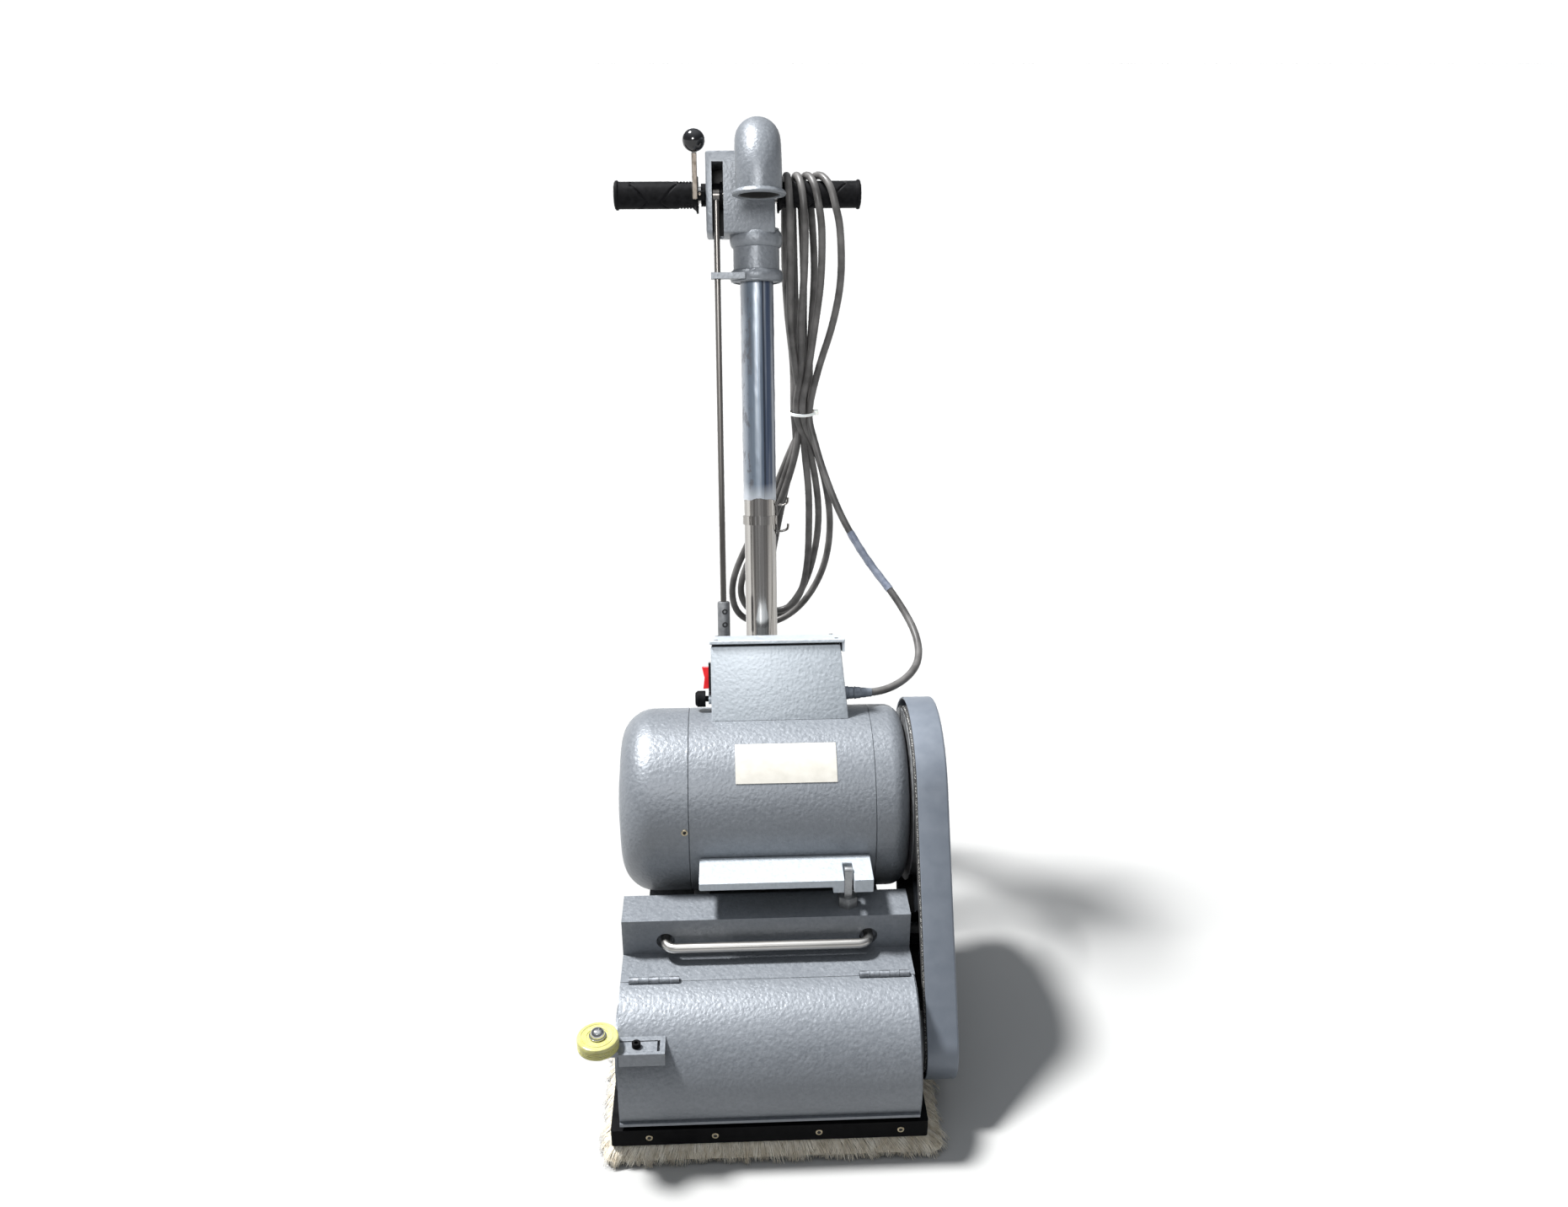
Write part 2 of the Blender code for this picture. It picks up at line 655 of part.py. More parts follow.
def make_terminal_box():
    made = bmesh.new()
    rows = []
    for x_low, x_high, r in ((-63, 110.5, 100.0), (-63, 101, BOX_TOP)):
        corners = [(x_low, -BOX_HALF), (x_high, -BOX_HALF), (x_high, BOX_HALF), (x_low, BOX_HALF)]
        rows.append([made.verts.new(Vector((x, t, r)) * MM) for x, t in corners])
    made.faces.new(rows[0][::-1])
    made.faces.new(rows[1])
    for i in range(4):
        j = (i + 1) % 4
        made.faces.new((rows[0][i], rows[0][j], rows[1][j], rows[1][i]))
    leaning = box_frame()
    shell = keep(from_bmesh(made, leaning), "terminal_box", "hammertone")
    bevel(shell, 2.0, 2, 50.0)
    cut(shell, x_cylinder(MOTOR_R + GAP, -200, 200, MOTOR_Y, MOTOR_Z, 112))
    cut(shell, box((-59, -47, 122), (97, 47, 210), leaning))
    cut(shell, box((-70, -29.5, 142.5), (-50, -10.5, 173.5), leaning))
    side = frame((0, *box_place(20, 130.5)), (0, 1, 0), (0, 0, 1))
    join(shell, cylinder(7.0, -67, -61, side, 24))
    cut(shell, cylinder(4.1, -75, -50, side, 20))
    cut(shell, x_cylinder(5.5, 90, 120, *box_place(10, 133.5), 20))
    cut(shell, cylinder(13.0, 100, 130, leaning, 20))

    outline = [(-61, -49.5), (99.5, -49.5), (99.5, 49.5), (-61, 49.5)]
    hole = [(-56, -44), (94, -44), (94, 44), (-56, 44)]
    keep(prism([outline, hole], BOX_TOP + GAP, BOX_TOP + 2.3, leaning), "box_gasket", "rubber")
    lid = keep(box((-64.5, -53, BOX_TOP + 2.6), (106.5, 53, BOX_TOP + 7.5), leaning), "box_lid", "hammertone")
    bevel(lid, 1.0, 1, 50.0)
    join(lid, box((103.2, -52, 190), (106.2, 52, BOX_TOP + 4), leaning))

    bezel = keep(box((-66.5, -32, 138.5), (-63.3, -8, 177.5), leaning), "switch_bezel", "black")
    cut(bezel, box((-70, -29.3, 142.3), (-60, -10.7, 173.7), leaning))
    upright = leaning @ Matrix.Translation((-63.0 * MM, -20.0 * MM, 158.0 * MM))
    side_view = upright @ Matrix(((-1, 0, 0, 0), (0, 0, 1, 0), (0, 1, 0, 0), (0, 0, 0, 1)))
    outline = [(-5, -13.5), (10.6, -14), (8.8, 0), (12.0, 14), (-5, 13.5)]
    rocker = keep(prism([outline], -8.8, 8.8, side_view), "rocker_switch", "red")
    set_origin(rocker, (-63.0, *box_place(20, 158)))

    profile = [(0, -84), (7.4, -84), (10.4, -81), (10.4, -71), (3.7, -71), (3.7, -57), (0, -57)]
    button = keep(revolve(profile, side, 28), "reset_button", "black")
    set_origin(button, (-75, *box_place(20, 130.5)))

    at = box_place(10, 133.5)
    profile = [(5.4, 108.8), (8.6, 108.8), (8.6, 113.0), (7.8, 114.0)]
    profile += [(7.8, 119.0), (7.0, 120.5), (5.4, 120.5)]
    keep(revolve(profile, x_axis_at(*at), 24, True), "cord_gland", "cast")


def box_place(forward, radius):
    """(y, z) in the leaning box: forward of its middle plane and out from the motor's axis."""
    y = MOTOR_Y - forward * math.cos(BOX_LEAN) + radius * math.sin(BOX_LEAN)
    z = MOTOR_Z + forward * math.sin(BOX_LEAN) + radius * math.cos(BOX_LEAN)
    return y, z


def make_chassis():
    pivot = tube_point(ROD_N + ARM_LENGTH, AXLE_S)
    side = [(101.3, 62.0), (101.3, 159.7), (334.0, 159.7), (334.0, 122.0)]
    side += [(262.0, 104.0), (215.0, 56.0), (180.0, 50.0)]
    chassis = keep(x_prism([side], -150, 150), "rear_chassis", "cast")
    cut(chassis, box((-140, 109.3, 20), (140, 322.5, 200)))
    cut(chassis, box((-74, 90, 62.5), (-24, 120, 137)))
    cut(chassis, box((TUBE_X - 26, 310, 150), (TUBE_X + 26, 340, 170)))
    cut(chassis, x_cylinder(7.5, 130, 160, FAN_Y, FAN_Z, 20))
    cut(chassis, x_cylinder(6.4, -160, 160, *pivot, 20))
    base = keep(box((-150, 115, 160), (150, 270, 167)), "motor_base", "cast")
    cut(base, box((-26, 234, 150), (38, 280, 180)))
    for x in (-90.0, 110.0):
        join(base, box((x, 160, 165), (x + 20, 270, 225)))
    cut(base, x_cylinder(MOTOR_R + GAP, -200, 200, MOTOR_Y, MOTOR_Z, 112))


def duct_path(extra):
    points = [(TUBE_X, 200 - extra, 112 - extra * 0.36), (TUBE_X, 245, 128)]
    points.append((TUBE_X, *tube_point(0, -30)))
    points.append((TUBE_X, *tube_point(0, extra)))
    return bent_path(points, 40.0, 4)


def make_fan():
    left, right = TUBE_X - 35, TUBE_X + 35
    scroll = keep(x_cylinder(58, left, right, FAN_Y, FAN_Z, 40), "fan_scroll", "cast")
    join(scroll, box((-72, 101.8, 64), (left + 2, 216, 134)))
    cut(scroll, x_cylinder(54, left + 4, right - 4, FAN_Y, FAN_Z, 40))
    cut(scroll, box((-68, 95, 68), (left - 3, 212, 130)))
    cut(scroll, x_cylinder(24, left - 10, left + 10, FAN_Y, FAN_Z, 24))
    cut(scroll, x_cylinder(7.5, right - 10, right + 10, FAN_Y, FAN_Z, 20))
    cut(scroll, rod(duct_path(10), 19.5, 4))

    rotor = keep(x_cylinder(46, right - 12, right - 8, FAN_Y, FAN_Z, 32), "fan_rotor", "cast")
    join(rotor, x_cylinder(12, left + 14, right - 10, FAN_Y, FAN_Z, 20))
    join(rotor, x_cylinder(6.5, right - 14, 209, FAN_Y, FAN_Z, 20))
    for i in range(6):
        turned = x_axis_at(FAN_Y, FAN_Z) @ Matrix.Rotation(math.radians(60 * i), 4, "Z")
        join(rotor, box((10, -1.5, left + 16), (46, 1.5, right - 9), turned))
    set_origin(rotor, (0, FAN_Y, FAN_Z))

    duct = keep(rod(duct_path(2), 24.0, 4), "dust_duct", "cast")
    foot = tube_frame(TUBE_X, 0, 0)
    join(duct, cylinder(28.0, -4, 46, foot, 24))
    join(duct, box((TUBE_X - 22, 323, 150.3), (TUBE_X + 22, 333.5, 190)))
    cut(duct, rod(duct_path(10), 19.5, 4))
    cut(duct, cylinder(TUBE_R + GAP, 2, 60, foot, 24))
    cut(duct, x_cylinder(58 + GAP, left - 10, right + 10, FAN_Y, FAN_Z, 80))


def make_tube():
    foot = tube_frame(TUBE_X, 0, 0)
    profile = [(19.5, 2.4), (TUBE_R, 2.4), (TUBE_R, NECK_S + 46), (19.5, NECK_S + 46)]
    keep(revolve(profile, foot, 24, True), "handle_tube", "chrome")
    low, high = 389.0, NECK_S - 1.0
    profile = [(TUBE_R + GAP, low), (TUBE_R + 1.1, low), (TUBE_R + 1.1, high), (TUBE_R + GAP, high)]
    keep(revolve(profile, foot, 24, True), "film_sleeve", "film")

    low, high = 340.0, 384.0
    profile = [(TUBE_R + GAP, low + 14), (TUBE_R + 2.2, low + 14)]
    profile += [(TUBE_R + 2.2, low + 26), (TUBE_R + GAP, low + 26)]
    hooks = keep(revolve(profile, foot, 24, True), "cord_hooks", "chrome")
    join(hooks, box((TUBE_R + 0.6, -4, low), (TUBE_R + 2.6, 4, high), foot))
    for s in (low + 4, high - 4):
        points = [(TUBE_R + 1.6, 0, s), (TUBE_R + 9, 0, s), (TUBE_R + 16, 0, s + 3), (TUBE_R + 17, 0, s + 10)]
        places = [tuple(foot @ (Vector(p) * MM) / MM) for p in points]
        join(hooks, rod(smooth_path(places, 3), 1.8, 2))


def elbow_path():
    points = arc((52.5, 800.0), 52.5, 180.0, 0.0, 12) + [(105.0, 776.0)]
    return [(TUBE_X + 2, *tube_point(n, s)) for n, s in points]


def make_head():
    base = tube_frame(0, 0, 0)
    block = ((-60, -33, 741), (31, 33, 846))
    head = keep(box(*block, base), "head_casting", "hammertone")
    bevel(head, 3.0, 2, 50.0)
    foot = tube_frame(TUBE_X, 0, 0)
    join(head, cylinder(31.0, NECK_S + 4, 750, foot, 28))
    join(head, cylinder(34.5, NECK_S, NECK_S + 13, foot, 28))
    join(head, box((-55, -37, NECK_S + 1), (-10, -23, NECK_S + 9), base))
    cut(head, cylinder(TUBE_R + GAP, NECK_S - 10, NECK_S + 46.5, foot, 24))
    cut(head, cylinder(19.0, NECK_S + 40, 802, foot, 20))
    cut(head, rod(elbow_path(), 20.0, 4))
    cut(head, box((-52, -50, 730), (-37, 22, 832), base))
    bar = tube_point(0, GRIP_S)
    cut(head, x_cylinder(11.4, -70, 40, *bar, 24))
    cut(head, x_cylinder(15.4, -70, -45, *bar, 24))
    cut(head, cylinder(4.8, NECK_S - 10, 745, tube_frame(ROD_X, ROD_N, 0), 16))

    elbow = keep(rod(elbow_path(), 29.5, 5), "dust_elbow", "hammertone")
    mouth = tube_frame(TUBE_X + 2, 105, 0)
    join(elbow, cylinder(34.5, 776.5, 787, mouth, 28))
    bore = [(TUBE_X + 2, *tube_point(0, 780))] + elbow_path() + [(TUBE_X + 2, *tube_point(105, 765))]
    cut(elbow, rod(bore, 25.0, 4))
    low, high = block
    grown = ((low[0] - 40, low[1] - GAP, low[2] - 60), (high[0] + 40, high[1] + 40, high[2] + GAP))
    cut(elbow, box(*grown, base))

    keep(x_cylinder(11.0, -177.5, 143, *bar, 24), "handlebar", "steel")
    for side, inner_x, outward in (("left", -70.3, -1.0), ("right", 35.0, 1.0)):
        profile = [(11.3, 0), (24.0, 0), (24.0, 2.5), (18.6, 6.0), (17.6, 9.0), (17.6, 106.0)]
        profile += [(19.2, 107.5), (19.2, 110.0), (15.0, 112.0), (0, 112.0), (0, 108.5), (11.3, 108.5)]
        direction = frame((inner_x, *bar), (0, 1, 0), (0, 0, outward))
        keep(revolve(profile, direction, 20, True), "grip_" + side, "rubber")


def make_lever():
    y, z = tube_point(0, GRIP_S)
    profile = [(11.4, -66.6), (14.8, -66.6), (14.8, -37.7), (11.4, -37.7)]
    hub = keep(revolve(profile, x_axis_at(y, z), 24, True), "lever_hub", "black")
    forward = (0, -math.cos(TUBE_LEAN), math.sin(TUBE_LEAN))
    side_view = frame((0, y, z), forward, (0, math.sin(TUBE_LEAN), math.cos(TUBE_LEAN)))
    pin_n = CRANK_R * math.cos(CRANK_REST)
    pin_s = CRANK_R * math.sin(CRANK_REST)
    plate = prism([hull([(0, 0, 17.0), (pin_n, pin_s, 6.5)], 20)], 37.8, 41.6, side_view)
    join(hub, plate)
    cut(hub, x_cylinder(11.4, -70, -30, y, z, 24))
    pin_place = tube_point(pin_n, GRIP_S + pin_s)
    join(hub, x_cylinder(3.0, -51.2, -40, *pin_place, 16))
    join(hub, box((-66.6, y - 31, z - 3), (-61.2, y - 12.5, z + 8)))
    join(hub, box((-77.5, y - 33.5, z - 3), (-61.2, y - 28.0, z + 8)))
    set_origin(hub, (-60, y, z))

    strip = keep(box((-77.2, y - 37.4, z - 1), (-70.8, y - 33.8, z + 57)), "lever_strip", "steel")
    bevel(strip, 0.8, 1, 50.0)
    set_origin(strip, (-60, y, z))
    ball = keep(sphere(14.5, (-74, y - 35.6, z + 72.0)), "lever_ball", "black")
    set_origin(ball, (-60, y, z))

    path = tube_frame(ROD_X, ROD_N, 0)
    pin = tube_frame(ROD_X, pin_n, GRIP_S + pin_s)
    turn = Matrix.Rotation(math.radians(90), 4, "Y")
    bar = keep(cylinder(4.0, AXLE_S + 11, GRIP_S + pin_s - 6, path, 20), "control_rod", "steel")
    join(bar, cylinder(7.6, -4, 4, pin @ turn, 24))
    join(bar, cylinder(12.8, -4, 4, tube_frame(ROD_X, ROD_N, AXLE_S) @ turn, 28))
    cut(bar, cylinder(4.2, -8, 8, pin @ turn, 20))
    cut(bar, cylinder(9.3, -8, 8, tube_frame(ROD_X, ROD_N, AXLE_S) @ turn, 28))
    set_origin(bar, (ROD_X, *tube_point(ROD_N, 300)))
    profile = [(4.3, 202.0), (6.6, 202.0), (6.6, 250.0), (4.3, 250.0)]
    coupling = keep(revolve(profile, path, 24, True), "rod_coupling", "cast")
    set_origin(coupling, (ROD_X, *tube_point(ROD_N, 226)))


def make_carriage():
    pivot = tube_point(ROD_N + ARM_LENGTH, AXLE_S)
    axle = tube_point(ROD_N, AXLE_S)
    carriage = keep(x_cylinder(8.0, -126, 126, *axle, 24), "wheel_carriage", "cast")
    for side in (-1, 1):
        low, high = sorted((84 * side, 92 * side))
        arm = hull([(*pivot, 12.0), (*axle, 12.0)], 16)
        join(carriage, x_prism([arm], low, high))
        low, high = sorted((88 * side, 152 * side))
        join(carriage, x_cylinder(6.0, low, high, *pivot, 20))
        low, high = sorted((124.5 * side, 128 * side))
        join(carriage, x_cylinder(12.0, low, high, *axle, 20))
    set_origin(carriage, (0, *pivot))
    for side, name in ((-1, "wheel_left"), (1, "wheel_right")):
        profile = [(8.3, 92.5), (18, 92.5), (18, 98), (38, 98), (40, 95), (48, 95)]
        profile += [(WHEEL_R, 97.5), (WHEEL_R, 119.5), (48, 122), (40, 122), (38, 119)]
        profile += [(18, 119), (18, 124.2), (8.3, 124.2)]
        direction = frame((0, *axle), (0, 1, 0), (0, 0, side))
        wheel = keep(revolve(profile, direction, 24, True), name, "rubber")
        set_origin(wheel, (108 * side, *axle))


def make_cord():
    start = (121.2, *box_place(10, 133.5))
    bends = [start, (138, 265, 417), (173, 275, 421), (200, 300, 427), (216, 340, 439), (213, 385, 455)]
    bends += [(190, 430, 486), (157, 470, 522), (124, 510, 571), (97, 545, 629), (84, 566, 672)]
    keep(rod(smooth_path(bends, 4), 5.0, 1), "cord_run", "cord")

    tie = (70, 590, 704)
    hank = keep(sphere(17.3, tie, 16), "cord_hank", "cord")
    fan = [(70, 583.5, 704, 10), (75, 573, 770, 22), (80, 560, 850, 34), (80, 557, 930, 39)]
    fan += [(77, y, z, 36) for y, z in arc((588.0, 998.0), 30.0, 180.0, 0.0, 10)]
    fan += [(71, 619, 930, 30), (69, 616, 850, 24), (69, 606, 770, 18), (70, 596.5, 704, 10)]
    join(hank, flat_band(smooth_path([Vector(row) for row in fan], 2), 5.8))
    outer = [(70, 0, 714), (88, 0, 660), (108, 0, 590), (113, 0, 540), (104, 0, 480), (76, 0, 418)]
    outer += [(34, 0, 376), (-6, 0, 372), (-36, 0, 396), (-43, 0, 440), (-28, 0, 490), (8, 0, 560)]
    outer += [(42, 0, 650), (69.5, 0, 714)]
    inner = [(68, 0, 650), (78, 0, 600), (81, 0, 550), (74, 0, 500), (52, 0, 448), (20, 0, 412)]
    inner += [(-4, 0, 412), (-14, 0, 440), (-2, 0, 480), (30, 0, 550), (56, 0, 620), (67.5, 0, 649)]
    upright = frame((0, 0, 0), (1, 0, 0), (0, 0, 1))
    loops = [[(p[0], p[2]) for p in smooth_path(loop, 2)] for loop in (outer, inner)]
    join(hank, prism(loops, -601.0, -580.0, upright))
    ring = [(17.6, -2), (19.4, -2), (19.4, 2), (17.6, 2)]
    tie_band = keep(revolve(ring, Matrix.Translation(Vector(tie) * MM), 28, True), "cable_tie", "white")
    join(tie_band, box((87.8, 586, 701), (93.5, 594, 707)))

    plug = keep(z_cylinder(19, 300, 345, PLUG_X, 592, 28, 15), "cord_plug", "black")
    join(plug, z_cylinder(14, 344, 352, PLUG_X, 592, 24, 8))
    for offset in (-9.5, 9.5):
        join(plug, z_cylinder(2.4, 281, 302, PLUG_X + offset, 592, 12))


def centre_footprint():
    for solid in list(PARTS.objects) + list(CUTTERS.objects):
        solid.location -= Vector((*MIDDLE, 0.0)) * MM


def main():
    global PARTS, CUTTERS
    clear_scene()
    PARTS = collection("floor_drum_sander")
    CUTTERS = collection("cutters")
    make_housing()
    make_band()
    make_door()
    make_carry_bar()
    make_guide_roller()
    make_drum()
    make_belt_drive()
    make_motor()
    make_terminal_box()
    make_chassis()
    make_fan()
    make_tube()
    make_head()
    make_lever()
    make_carriage()
    make_cord()
    centre_footprint()


main()
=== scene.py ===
"""Looks for the floor drum sander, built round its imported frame.

Routes and profiles are in the CAD source's drawing millimetres, and at() places them in the frame.
"""

import json
import math
import random

import bmesh
import bpy
from mathutils import Matrix, Vector


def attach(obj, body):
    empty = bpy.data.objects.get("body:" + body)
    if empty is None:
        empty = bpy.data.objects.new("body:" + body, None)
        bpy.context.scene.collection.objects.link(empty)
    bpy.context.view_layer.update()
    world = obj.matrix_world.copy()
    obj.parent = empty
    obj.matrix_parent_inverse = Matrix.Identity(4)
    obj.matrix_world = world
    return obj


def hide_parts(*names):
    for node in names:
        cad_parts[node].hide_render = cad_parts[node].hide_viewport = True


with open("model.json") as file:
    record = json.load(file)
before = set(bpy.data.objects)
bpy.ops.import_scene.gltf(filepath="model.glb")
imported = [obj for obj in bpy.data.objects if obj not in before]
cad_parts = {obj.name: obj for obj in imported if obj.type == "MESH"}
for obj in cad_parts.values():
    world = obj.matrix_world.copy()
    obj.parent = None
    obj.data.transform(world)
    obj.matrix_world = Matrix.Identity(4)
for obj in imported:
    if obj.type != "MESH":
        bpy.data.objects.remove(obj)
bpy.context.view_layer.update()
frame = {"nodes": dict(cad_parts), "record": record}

MM = 0.001
MIDDLE = Vector((3.25, 262.0, 0.0))
NODES = frame["nodes"]
SLOTS = {row["node"]: row["material_slot"] for row in frame["record"]["subparts"]}

# Sizes and places in drawing millimetres. N is in front of the handle tube's axis, and S is up it.
CORD_D = 10.0
MOTOR_Y, MOTOR_Z, MOTOR_R = 224.0, 293.0, 116.5
BELL_R = 42.0
LEAN = math.radians(16.0)
BOX_LEAN = math.radians(22.0)
BOX_TOP = 206.5
TUBE_X, TUBE_R, TUBE_TOP = 6.0, 21.75, 727.0
TUBE_FOOT_Y, TUBE_FOOT_Z = 369.0, 240.0
FILM_LOW, FILM_HIGH, FILM_R = 389.0, 680.0, 22.35
ELBOW_X, ELBOW_S, ELBOW_BEND = 8.0, 800.0, 52.5
ELBOW_R, ELBOW_BORE = 29.5, 25.0
MOUTH_N, MOUTH_S = 105.0, 776.0
NECK_R = 30.5
GRIP_S, GRIP_R = 794.8, 17.6
ROD_X, ROD_N = -46.5, 29.4
LEVER_X = -74.0
GUARD_X = 224.0
DRUM_Z = 85.5
BAND_Z = 38.5


def at(x, y, z):
    """The frame's metres of a point in drawing millimetres."""
    return (Vector((x, y, z)) - MIDDLE) * MM


def placed(origin, x_axis, y_axis):
    """A matrix in metres with local axes at an origin in drawing millimetres."""
    x = Vector(x_axis).normalized()
    z = x.cross(Vector(y_axis)).normalized()
    matrix = Matrix((x, z.cross(x), z)).transposed().to_4x4()
    matrix.translation = at(*origin)
    return matrix


def x_axis_at(y, z, x=0.0):
    """Local Z is the world X through a point."""
    return placed((x, y, z), (0, 1, 0), (0, 0, 1))


def tube_point(n, s):
    """(y, z) at n in front of the handle tube's axis and s up it."""
    y = TUBE_FOOT_Y - n * math.cos(LEAN) + s * math.sin(LEAN)
    return y, TUBE_FOOT_Z + n * math.sin(LEAN) + s * math.cos(LEAN)


def tube_frame(x, n, s):
    """Local Z runs up the leaning handle tube."""
    return placed((x, *tube_point(n, s)), (1, 0, 0), (0, math.cos(LEAN), -math.sin(LEAN)))


def box_frame():
    """Local Z runs up the leaning terminal box from the motor's axis."""
    back = (0, math.cos(BOX_LEAN), -math.sin(BOX_LEAN))
    return placed((0, MOTOR_Y, MOTOR_Z), (1, 0, 0), back)


def turns(count):
    """Even angles round a circle."""
    return [2 * math.pi * i / count for i in range(count)]


def half_round(centre, deep, tall):
    """A bulge's profile of (radius, height), from its lower edge to its upper one."""
    radius, height = centre
    angles = [math.radians(a) for a in range(-90, 91, 10)]
    return [(radius + deep * math.cos(a), height + tall * math.sin(a)) for a in angles]


# Camera, and what it shares with the lights


def linked(name, data):
    """A new object in the scene."""
    made = bpy.data.objects.new(name, data)
    bpy.context.scene.collection.objects.link(made)
    return made


def aimed(made, direction):
    """Turns a camera or light to look along a direction."""
    made.rotation_mode = "QUATERNION"
    made.rotation_quaternion = Vector(direction).to_track_quat("-Z", "Y")
    return made


def make_camera():
    """The shown view: just above the handle, looking down at the front."""
    data = bpy.data.cameras.new("camera")
    data.sensor_width = 36.0
    data.lens = 29.89
    data.clip_end = 50.0
    pitch, yaw = math.radians(23.8), math.radians(2.5)
    level = math.cos(pitch)
    look = (math.sin(yaw) * level, math.cos(yaw) * level, -math.sin(pitch))
    camera = aimed(linked("camera", data), look)
    camera.location = at(-35.0, -1227.0, 1207.0)
    bpy.context.scene.camera = camera


# Materials


def colour_ramp(nodes, links, source, stops):
    """Colours along a value, from (place, colour) stops."""
    ramp = nodes.new("ShaderNodeValToRGB")
    elements = ramp.color_ramp.elements
    while len(elements) < len(stops):
        elements.new(0.5)
    for element, (place, colour) in zip(elements, stops):
        element.position = place
        element.color = (*colour, 1.0)
    links.new(source, ramp.inputs["Fac"])
    return ramp.outputs["Color"]


class Paint:
    """A Principled material whose colour, roughness and relief vary with object coordinates."""

    def __init__(self, name, **sockets):
        self.material = bpy.data.materials.new(name)
        self.material.use_nodes = True
        self.nodes = self.material.node_tree.nodes
        self.links = self.material.node_tree.links
        self.shader = self.nodes["Principled BSDF"]
        for key, value in sockets.items():
            self.shader.inputs[key.replace("_", " ")].default_value = value
        self.coordinates = self.nodes.new("ShaderNodeTexCoord").outputs["Object"]

    def noise(self, scale, detail=3.0, stretch=(1, 1, 1), roughness=0.55, lean=0.0):
        """Noise that a small stretch draws out along an axis, leant like the handle tube."""
        mapping = self.nodes.new("ShaderNodeMapping")
        mapping.vector_type = "TEXTURE"
        mapping.inputs["Scale"].default_value = [1.0 / s for s in stretch]
        mapping.inputs["Rotation"].default_value = (-lean, 0.0, 0.0)
        self.links.new(self.coordinates, mapping.inputs["Vector"])
        texture = self.nodes.new("ShaderNodeTexNoise")
        texture.inputs["Scale"].default_value = scale
        texture.inputs["Detail"].default_value = detail
        texture.inputs["Roughness"].default_value = roughness
        self.links.new(mapping.outputs["Vector"], texture.inputs["Vector"])
        return texture.outputs["Fac"]

    def cells(self, scale):
        texture = self.nodes.new("ShaderNodeTexVoronoi")
        texture.feature = "SMOOTH_F1"
        texture.inputs["Scale"].default_value = scale
        self.links.new(self.coordinates, texture.inputs["Vector"])
        return texture.outputs["Distance"]

    def ramp(self, source, stops):
        return colour_ramp(self.nodes, self.links, source, stops)

    def span(self, source, low, high, start=0.3, end=0.7):
        """A value from low to high, as the source goes from start to end."""
        node = self.nodes.new("ShaderNodeMapRange")
        limits = {"From Min": start, "From Max": end, "To Min": low, "To Max": high}
        for key, value in limits.items():
            node.inputs[key].default_value = value
        self.links.new(source, node.inputs["Value"])
        return node.outputs["Result"]

    def mix(self, factor, first, second):
        node = self.nodes.new("ShaderNodeMix")
        node.data_type = "RGBA"
        self.links.new(factor, node.inputs["Factor"])
        for socket, value in ((node.inputs[6], first), (node.inputs[7], second)):
            if isinstance(value, bpy.types.NodeSocket):
                self.links.new(value, socket)
            else:
                socket.default_value = (*value, 1.0)
        return node.outputs[2]

    def set(self, socket, source):
        self.links.new(source, self.shader.inputs[socket])

    def relief(self, source, distance):
        """Bumps of a depth in millimetres, on top of those already there."""
        bump = self.nodes.new("ShaderNodeBump")
        bump.inputs["Distance"].default_value = distance * MM
        bump.inputs["Strength"].default_value = 1.0
        self.links.new(source, bump.inputs["Height"])
        before = self.shader.inputs["Normal"].links
        if before:
            self.links.new(before[0].from_socket, bump.inputs["Normal"])
        self.links.new(bump.outputs["Normal"], self.shader.inputs["Normal"])

    def axis(self, name):
        """One object coordinate, in metres."""
        split = self.nodes.new("ShaderNodeSeparateXYZ")
        self.links.new(self.coordinates, split.inputs["Vector"])
        return split.outputs[name]


def mottled(
    name, dark, light, scale, rough, bump, stretch=(1, 1, 1), bump_scale=None, lean=0.0, **sockets
):
    """One look: two tones and two roughnesses by noise, with fine relief."""
    made = Paint(name, **sockets)
    tone = made.noise(scale, 4.0, stretch, lean=lean)
    made.set("Base Color", made.ramp(tone, [(0.32, dark), (0.68, light)]))
    made.set("Roughness", made.span(tone, *rough))
    made.relief(made.noise(bump_scale or scale * 2.0, 3.0, stretch, lean=lean), bump)
    return made


def hammertone(name, dark, light, rough, dimple):
    """Silver hammered paint: shallow dimples a few millimetres across, with pale specks."""
    made = Paint(name, Metallic=0.3, Coat_Weight=0.1, Coat_Roughness=0.3)
    dimples = made.cells(230.0)
    blotches = made.noise(210.0, 4.0, roughness=0.6)
    broad = made.noise(9.0, 2.0)
    base = made.ramp(blotches, [(0.34, dark), (0.66, light)])
    worn = made.mix(made.span(broad, 0.0, 0.35), base, [c * 0.88 for c in dark])
    made.set("Base Color", worn)
    made.set("Roughness", made.span(blotches, *rough))
    made.relief(dimples, dimple)
    made.relief(made.noise(300.0, 3.0), dimple * 1.2)
    return made


